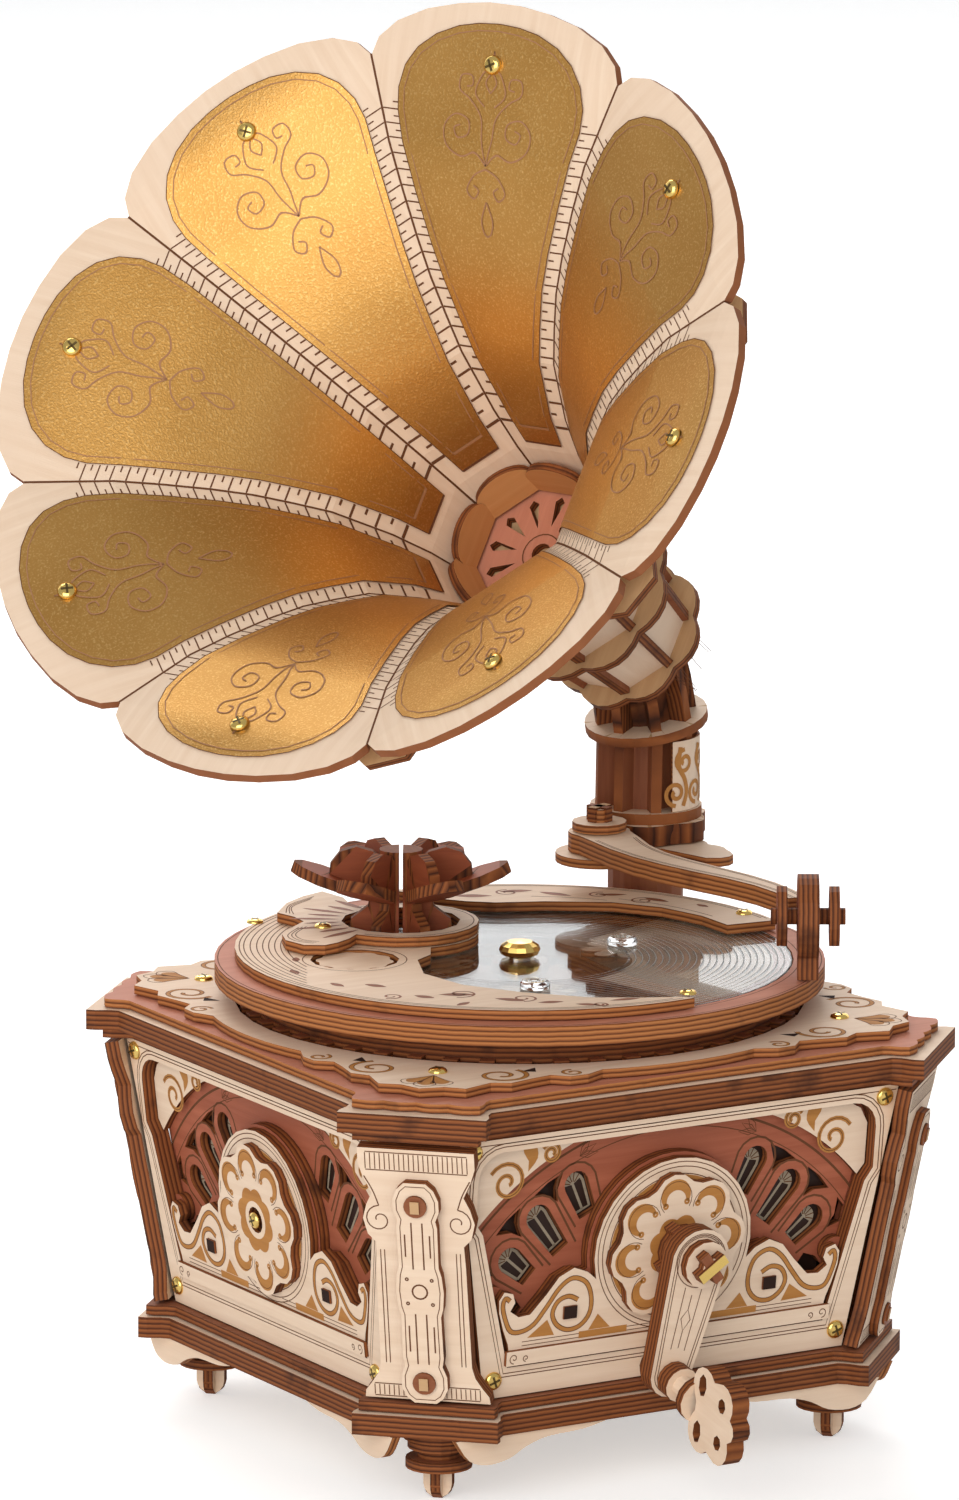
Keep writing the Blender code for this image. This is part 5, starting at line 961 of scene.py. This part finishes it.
def on_skin(heap, place, radius, path, width, kind=2):
    """A line on a bent sheet: degrees round the post and millimetres up it."""
    rows = []
    for number, (bearing, z) in enumerate(path):
        before = path[max(number - 1, 0)]
        after = path[min(number + 1, len(path) - 1)]
        along = Vector(((after[0] - before[0]) * radius * math.pi / 180, after[1] - before[1])).normalized()
        half = width / 2
        pair = []
        for way in (1, -1):
            turn = bearing - way * along.y * half * 180 / math.pi / radius
            x, y = sweep(radius, turn, 0, 1)[0]
            pair.append(corner(heap, place, x, y, z + way * along.x * half))
        rows.append(pair)
    for (a, b), (c, d) in zip(rows, rows[1:]):
        heap.faces.new((a, b, d, c)).material_index = kind


bent_skin(skin, POST, 10.55, -92, 165, 111.6, 126.2)
for bearing in (-82, -50, -20, 12, 44):
    for way in (1, -1):
        middle = (bearing + 6 * way, 118.6 + 3.2 * way)
        path = [(middle[0] + x / 10.9 * 180 / math.pi, middle[1] + y)
                for x, y in curl((0, 0), 2.6, 0.5, 90 * way, 500 * way, 24)]
        on_skin(skin, POST, 11.1, path, 0.9)
    path = [(bearing + 4, 112.6), (bearing + 9, 115.4), (bearing + 6, 118.2), (bearing - 2, 121.0),
            (bearing, 125.0)]
    on_skin(skin, POST, 11.09, eased(path, 4), 1.1)
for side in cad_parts["column"].data.attributes["sheet"].data:
    side.vector = (side.vector[2], side.vector[1], math.hypot(side.vector[0], side.vector[1]))
placed("column_skin", skin, "case", cream, warm_edge, ochre, slot="cream_ply")

# The neck of the horn: eight bent cream panels with double scribed borders between dark ribs,
# held by scalloped tan plates at both ends.
THROAT = (at(21.97, 28.93, 170.0) @ turned(math.radians(205)) @ Matrix.Rotation(math.radians(55.65), 4, "Y")
          @ turned(math.radians(-1.4)))
veneered("horn_neck", THROAT @ at(0, 0, -40), tan, dark_edge)
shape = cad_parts["horn_neck"].data
shape.materials.append(cream)
inward = (CENTRED @ THROAT).inverted()
for side in shape.polygons:
    spot = inward @ (side.center / MM)
    if side.material_index == 1 and math.hypot(spot.x, spot.y) < 17.4 and -37.9 < spot.z and side.area > 4e-6:
        side.material_index = 2
veneered("throat_grille", THROAT @ at(0, 0, -2.3), rose, dark_edge)
veneered("horn_ring", THROAT @ at(0, 0, 64), tan, dark_edge)


def neck_radius(z):
    """Across the neck's flats from its axis."""
    if z < -20:
        return (13.5 + 2.3 * (z + 38) / 18) * math.cos(math.pi / 8)
    return (15.8 + 2.0 * (z + 18) / 15.5) * math.cos(math.pi / 8)


ribs = bench()
neck_lines = bench()
for face in range(8):
    own = THROAT @ turned(math.radians(45 * face))
    for low, high in ((-37.6, -20.3), (-17.6, -2.8)):
        start = neck_radius(low)
        lean = math.atan2(neck_radius(high) - start, high - low)
        upright_board = Matrix.Rotation(math.radians(90) + lean, 4, "Y") @ turned(math.radians(90))
        board = own @ at(start, 0, low) @ upright_board
        length = (high - low) / math.cos(lean)
        half_low = start * math.tan(math.pi / 8)
        half_high = neck_radius(high) * math.tan(math.pi / 8)
        for inset in (1.4, 2.0):
            frame_line = [(-half_low + inset, -inset + 0.4), (half_low - inset, -inset + 0.4),
                          (half_high - inset, -length + inset), (-half_high + inset, -length + inset)]
            line(neck_lines, board, frame_line, 0.16, 0.06, True)
        line(neck_lines, board, [(0, -2.2), (0, -length + 2.2)], 0.16, 0.06)
        for step in range(9):
            x = -half_low * 0.6 + half_low * 1.2 * step / 8
            line(neck_lines, board, [(x, -1.8), (x, -1.8 - 2.4 * abs(math.cos(step * 0.4)))], 0.14, 0.06)
        rib = THROAT @ turned(math.radians(45 * face + 22.5))
        corner_low = start / math.cos(math.pi / 8)
        corner_high = neck_radius(high) / math.cos(math.pi / 8)
        side_on = rib @ Matrix.Rotation(math.radians(90), 4, "X")
        outline = [(corner_low - 1.2, low), (corner_low + 1.0, low), (corner_high + 1.0, high),
                   (corner_high - 1.2, high)]
        cut(ribs, side_on, outline, (), -1.0, 1.0)
placed("neck_ribs", ribs, "case", brown, dark_edge)
placed("neck_lines", neck_lines, "case", scorch)

# The horn: eight cream petals, kerfed along their sides so that they bend, their edges burnt copper.
# Each carries a gold card with a scribed border and scroll ornament, held by one brass screw,
# and tan half round tabs stand at the throat.
PETAL_LINE = [(16.3, 0), (18.2, 10), (21.3, 20.4), (27.2, 34.3), (32, 41.2), (37, 47.8), (42.7, 53.6), (50, 60),
              (57.3, 65.7), (65.5, 70), (72.2, 73.5), (75.5, 74.9), (79, 76.1), (82, 77), (83.8, 77.5),
              (84.6, 77.8)]
CARD_HALVES = [(18.9, 4.4), (22, 5.6), (30, 9.0), (40, 13.2), (50, 17.3), (58, 20.4), (63, 22.0), (67, 22.3),
               (71, 21.2), (74.5, 18.6), (77.4, 14.6), (79.4, 9.6), (80.3, 5.0), (80.6, 0.6)]


def between(rows, at_first):
    """Straight interpolation in rows of pairs."""
    for (a, value), (b, later) in zip(rows, rows[1:]):
        if at_first <= b:
            share = (at_first - a) / (b - a)
            return value + (later - value) * share
    return rows[-1][1]


def on_petal(radius, aside, lifted):
    """A point on a petal's inner face, raised a little toward the horn's axis."""
    for (a, low), (b, high) in zip(PETAL_LINE, PETAL_LINE[1:]):
        if radius <= b or b == 84.6:
            along = Vector((b - a, high - low)).normalized()
            height = low + (high - low) * (radius - a) / (b - a)
            return radius - along.y * lifted, aside, height + along.x * lifted
    return radius, aside, 0


def petal_strip(heap, place, path, width, lifted, kind=0):
    """A line on a petal from radii and distances aside."""
    rows = []
    for number, (radius, aside_by) in enumerate(path):
        before = Vector(path[max(number - 1, 0)])
        after = Vector(path[min(number + 1, len(path) - 1)])
        along = (after - before).normalized()
        half = width / 2
        pair = []
        for way in (half, -half):
            spot = on_petal(radius - along.y * way, aside_by + along.x * way, lifted)
            pair.append(corner(heap, place, *spot))
        rows.append(pair)
    for (a, b), (c, d) in zip(rows, rows[1:]):
        heap.faces.new((a, b, d, c)).material_index = kind


def petal_half(radius):
    return radius * math.tan(math.pi / 8) - 0.2


BENDS = {radius for radius, height in PETAL_LINE if 18.9 < radius < 80.6}
CARD_RADII = sorted(BENDS | {radius for radius, half in CARD_HALVES})
CARD_ROWS = [(radius, between(CARD_HALVES, radius)) for radius in CARD_RADII]
gold = plain("gold_card", (0.60, 0.32, 0.08), 0.42, 0.94)
tree = gold.node_tree
shader = tree.nodes["Principled BSDF"]
where = node(tree, "ShaderNodeTexCoord")
speck = node(tree, "ShaderNodeTexNoise", {"Vector": where.outputs["Object"], "Scale": 2200.0, "Detail": 2.0})
cloudy = node(tree, "ShaderNodeTexNoise", {"Vector": where.outputs["Object"], "Scale": 30.0, "Detail": 3.0})
tone = blended(tree, ramp(tree, cloudy.outputs["Fac"], 0.3, 0.75), (0.62, 0.335, 0.095), (0.50, 0.255, 0.062))
flecked = blended(tree, ramp(tree, speck.outputs["Fac"], 0.52, 0.8), tone, (0.78, 0.50, 0.19))
tree.links.new(flecked, shader.inputs["Base Color"])
bump = node(tree, "ShaderNodeBump", {"Strength": 0.55, "Distance": 0.00012, "Height": speck.outputs["Fac"]})
tree.links.new(bump.outputs[0], shader.inputs["Normal"])
gold_line = plain("scribed_gold", (0.40, 0.19, 0.085), 0.55, 0.2)
petal_edge = burnt("petal_edge", (0.40, 0.155, 0.062), (0.26, 0.085, 0.03), (0.12, 0.036, 0.014), 0.65)

MOTIF = []
for way in (1, -1):
    MOTIF.append(eased([(0, -7.0), (2.6 * way, -4.6), (6.0 * way, -5.6), (9.6 * way, -3.6), (10.4 * way, 0.4),
                        (8.0 * way, 3.2), (4.8 * way, 2.2), (4.6 * way, -0.8), (7.0 * way, -1.8),
                        (8.0 * way, 0.2), (6.6 * way, 1.0)], 5))
    MOTIF.append(eased([(0, -7.0), (1.2 * way, -2.0), (1.8 * way, 3.0), (4.6 * way, 6.6), (7.4 * way, 8.6),
                        (7.2 * way, 11.6), (4.8 * way, 11.8), (4.4 * way, 9.8), (5.8 * way, 9.4)], 5))
    MOTIF.append(eased([(0, -7.6), (2.8 * way, -9.0), (4.6 * way, -12.0), (3.0 * way, -13.6),
                        (1.8 * way, -12.0), (3.0 * way, -11.0)], 5))
    MOTIF.append(eased([(1.2 * way, 5.4), (3.6 * way, 8.2), (2.2 * way, 12.4), (0.6 * way, 13.8),
                        (0, 17.6)], 5))
    MOTIF.append(eased([(0, -14.0), (1.3 * way, -17.4), (0.9 * way, -19.8), (0, -20.6)], 5))
    MOTIF.append(eased([(0, 8.4), (1.3 * way, 10.6), (0, 13.0)], 4))
for number in range(1, 9):
    name = f"horn_petal_{number}"
    own = THROAT @ turned(math.radians(45 * (number - 1)))
    veneered(name, own, cream, petal_edge)
    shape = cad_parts[name].data
    inward = (CENTRED @ own).inverted()
    for corner_point, store in zip(shape.vertices, shape.attributes["sheet"].data):
        spot = inward @ (corner_point.co / MM)
        store.vector = Vector((spot.z + spot.x, spot.y, 0.4 if spot.x < 0 else 1.2)) * MM
    lying = inward.to_3x3()
    for side in shape.polygons:
        facing = lying @ side.normal
        near = Vector(on_petal((inward @ (side.center / MM)).x, 0, 0))
        away = (Vector(on_petal(near.x, 0, 1)) - near).normalized()
        side.material_index = 0 if abs(facing.dot(away)) > 0.6 else 1

    card = bench()
    rows = []
    for radius, half in CARD_ROWS:
        rows.append([corner(card, own, *on_petal(radius, half * k, 0.32)) for k in (-1, -0.5, 0, 0.5, 1)])
    for low, high in zip(rows, rows[1:]):
        for k in range(4):
            made = card.faces.new((low[k], low[k + 1], high[k + 1], high[k]))
            made.smooth = True
    outline = [(r, h) for r, h in CARD_ROWS] + [(r, -h) for r, h in reversed(CARD_ROWS)]
    border = grown(outline, -1.4)
    petal_strip(card, own, border + border[:1], 0.22, 0.40, 1)
    petal_strip(card, own, outline + outline[:1], 0.16, 0.34, 2)
    for path in MOTIF:
        petal_strip(card, own, [(61.0 + y * 0.82, x * 1.0) for x, y in path], 0.30, 0.42, 1)
    placed(f"gold_card_{number}", card, "case", gold, gold_line, scorch, slot="gold_card")

    kerfs = bench()
    for way in (1, -1):
        radius = 20.5
        while radius < 64:
            edge_at = petal_half(radius)
            card_at = between(CARD_HALVES, radius)
            kerf = [(radius, way * (edge_at - 0.1)), (radius, way * (card_at + 0.2))]
            petal_strip(kerfs, own, kerf, 0.24, 0.05)
            middle = radius + 1.25
            petal_strip(kerfs, own, [(middle, way * (between(CARD_HALVES, middle) + 1.5)),
                                     (middle, way * (between(CARD_HALVES, middle) + 0.2))], 0.24, 0.05)
            radius += 2.5
    placed(f"petal_kerfs_{number}", kerfs, "case", scorch)

    fixing = bench()
    point = on_petal(72.9, 0, 0.4)
    tilt = math.atan2(73.5 - 70, 72.2 - 65.5)
    screw(fixing, own @ at(*point) @ Matrix.Rotation(-tilt, 4, "Y"), 2.0, 1.1, 30 + 17 * number)
    placed(f"petal_screw_{number}", fixing, "case", brass, recess_painted_shade, slot="brass")

seams = bench()
for number in range(8):
    own = THROAT @ turned(math.radians(45 * number))
    following = THROAT @ turned(math.radians(45 * number + 45))
    rows = []
    for radius, height in PETAL_LINE[:11]:
        half = petal_half(radius) - 0.06
        rows.append((corner(seams, own, *on_petal(radius, half, 0.05)),
                     corner(seams, following, *on_petal(radius, -half, 0.05))))
    for (a, b), (c, d) in zip(rows, rows[1:]):
        seams.faces.new((a, b, d, c))
placed("petal_seams", seams, "case", scorch)

tabs = bench()
for number in range(8):
    lean = math.radians(10 + 9 * (number % 2))
    own = THROAT @ turned(math.radians(45 * number)) @ at(14.0, 0, 0.4) @ Matrix.Rotation(lean, 4, "Y")
    own = own @ Matrix.Rotation(math.radians(-90), 4, "Y") @ turned(math.radians(90))
    half_round = [(-5.6, 0), (5.6, 0)] + [(x, 4.0 + y * 0.62) for x, y in sweep(6.6, 0, 180, 14)]
    cut(tabs, own, [(x, -y) for x, y in half_round], (), -0.9, 0.9)
tab_tan = veneer("throat_tab", (0.56, 0.27, 0.10), (0.48, 0.20, 0.065), (0.53, 0.245, 0.09))
placed("throat_tabs", tabs, "case", tab_tan, dark_edge)
grille_centre = bench()
line(grille_centre, THROAT, hoop(4.2, steps=24), 0.25, -0.2, True)
placed("throat_lines", grille_centre, "case", scorch)

# The tonearm: two sheets glued, cream above, with a scribed border; a crossed peg holds its washer.
# Its head is three round sheets on a dark square axle between two washers.
veneered("tonearm", at(0, 0, 105), cream, warm_edge)
HEAD = at(39.2, -45.7, 107.4) @ turned(math.radians(-31)) @ Matrix.Rotation(math.radians(90), 4, "Y")
veneered("tonearm_head", HEAD @ at(0, 0, -2.1), copper, dark_edge)
veneered("tonearm_axle", HEAD @ at(0, 0, -6.2), copper, dark_edge)
ARM_LINE = [(39.8, 28.5, 5.2), (38.4, 20.5, 4.4), (38.1, 12.5, 3.9), (39.0, 4.0, 3.6), (40.8, -5.0, 3.3),
            (42.8, -14.0, 2.9), (43.8, -22.5, 2.5), (43.6, -30.0, 2.2), (42.8, -36.2, 2.0)]
arm_lines = bench()
for way in (1, -1):
    for inset in (0.8, 1.3):
        path = []
        for here, (x, y, half) in enumerate(ARM_LINE):
            before = Vector(ARM_LINE[max(here - 1, 0)][:2])
            after = Vector(ARM_LINE[min(here + 1, len(ARM_LINE) - 1)][:2])
            along = (after - before).normalized()
            path.append((x - along.y * way * (half - inset), y + along.x * way * (half - inset)))
        line(arm_lines, at(0, 0, 109), eased(path, 4), 0.18, 0.03)
placed("tonearm_lines", arm_lines, "tonearm", scorch)
peg = bench()
for quarter, kind in ((20, 0), (110, 2)):
    own = at(41.2, 37.1) @ turned(math.radians(quarter))
    cut(peg, own, block(-2.6, 2.6, -1.0, 1.0), (), 111.12, 114.2, kind, 1)
placed("tonearm_peg", peg, "case", tan, dark_edge, brown)

# The crank: two cream sheets glued, with scribed double borders, dark washers and a crossed peg,
# and a grip that turns on its own spindle and ends in a pierced butterfly knob.
CRANK = wall_place(0) @ at(*HUB)
ARM = CRANK @ turned(math.radians(-12.5))
veneered("crank_shaft", CRANK @ at(0, 0, 6.0), cream, dark_edge)
veneered("crank_arm", ARM @ at(0, 0, 6.4), cream, dark_edge)
veneered("music_drum", at(0, -40.5, 37), brass, brass)
ARM_FACE = 10.43
crank_lines = bench()
arm_outline = sweep(6.6, 5, 170, 14) + sweep(4.6, 175, 190, 14, (0, -23.6))
for inset in (0.9, 1.5):
    line(crank_lines, ARM, grown(arm_outline, -inset), 0.18, ARM_FACE, True)
for x in (-1.6, 1.6):
    line(crank_lines, ARM, [(x * 1.2, -5.6), (x, -18.4)], 0.18, ARM_FACE)
line(crank_lines, ARM, [(0, -7.0), (0, -10.0)], 0.18, ARM_FACE)
line(crank_lines, ARM, [(0, -10.0), (1.1, -12.0), (0, -14.4), (-1.1, -12.0)], 0.2, ARM_FACE, True)
line(crank_lines, ARM, [(0, -14.4), (0, -18.0)], 0.18, ARM_FACE)
line(crank_lines, ARM, hoop(5.4, steps=30), 0.18, ARM_FACE, True)
placed("crank_lines", crank_lines, "crank", scorch)
crank_pegs = bench()
for quarter, kind, high in ((35, 0, 15.4), (125, 2, 14.9)):
    own = CRANK @ turned(math.radians(quarter))
    cut(crank_pegs, own, block(-3.4, 3.4, -1.05, 1.05), (), 12.75, high, kind, 1)
for quarter, kind in ((30, 3), (120, 4)):
    cut(crank_pegs, CRANK @ turned(math.radians(quarter)), block(-6.4, 6.4, -1.1, 1.1), (), 2.7, 6.1, kind, 1)
placed("crank_pegs", crank_pegs, "crank", brass, dark_edge, brown, cream, copper)
GRIP = ARM @ at(0, -23.6, 10.4) @ turned(math.radians(12.5))
GRIP = GRIP @ at(0, 0, -2) @ Matrix.Rotation(math.radians(6), 4, "X") @ at(0, 0, 2)
veneered("grip", GRIP @ at(0, 0, 0.8), cream, dark_edge)
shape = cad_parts["grip"].data
shape.materials.append(cream)
inward = (CENTRED @ GRIP).inverted()
lying = (CENTRED @ GRIP).to_3x3().inverted()
for side in shape.polygons:
    spot = inward @ (side.center / MM)
    facing = lying @ side.normal
    if spot.z > 11.6:
        side.material_index = 0 if abs(facing.x) > 0.7 else 1
    elif 4.2 < spot.z < 9.6:
        side.material_index = 0
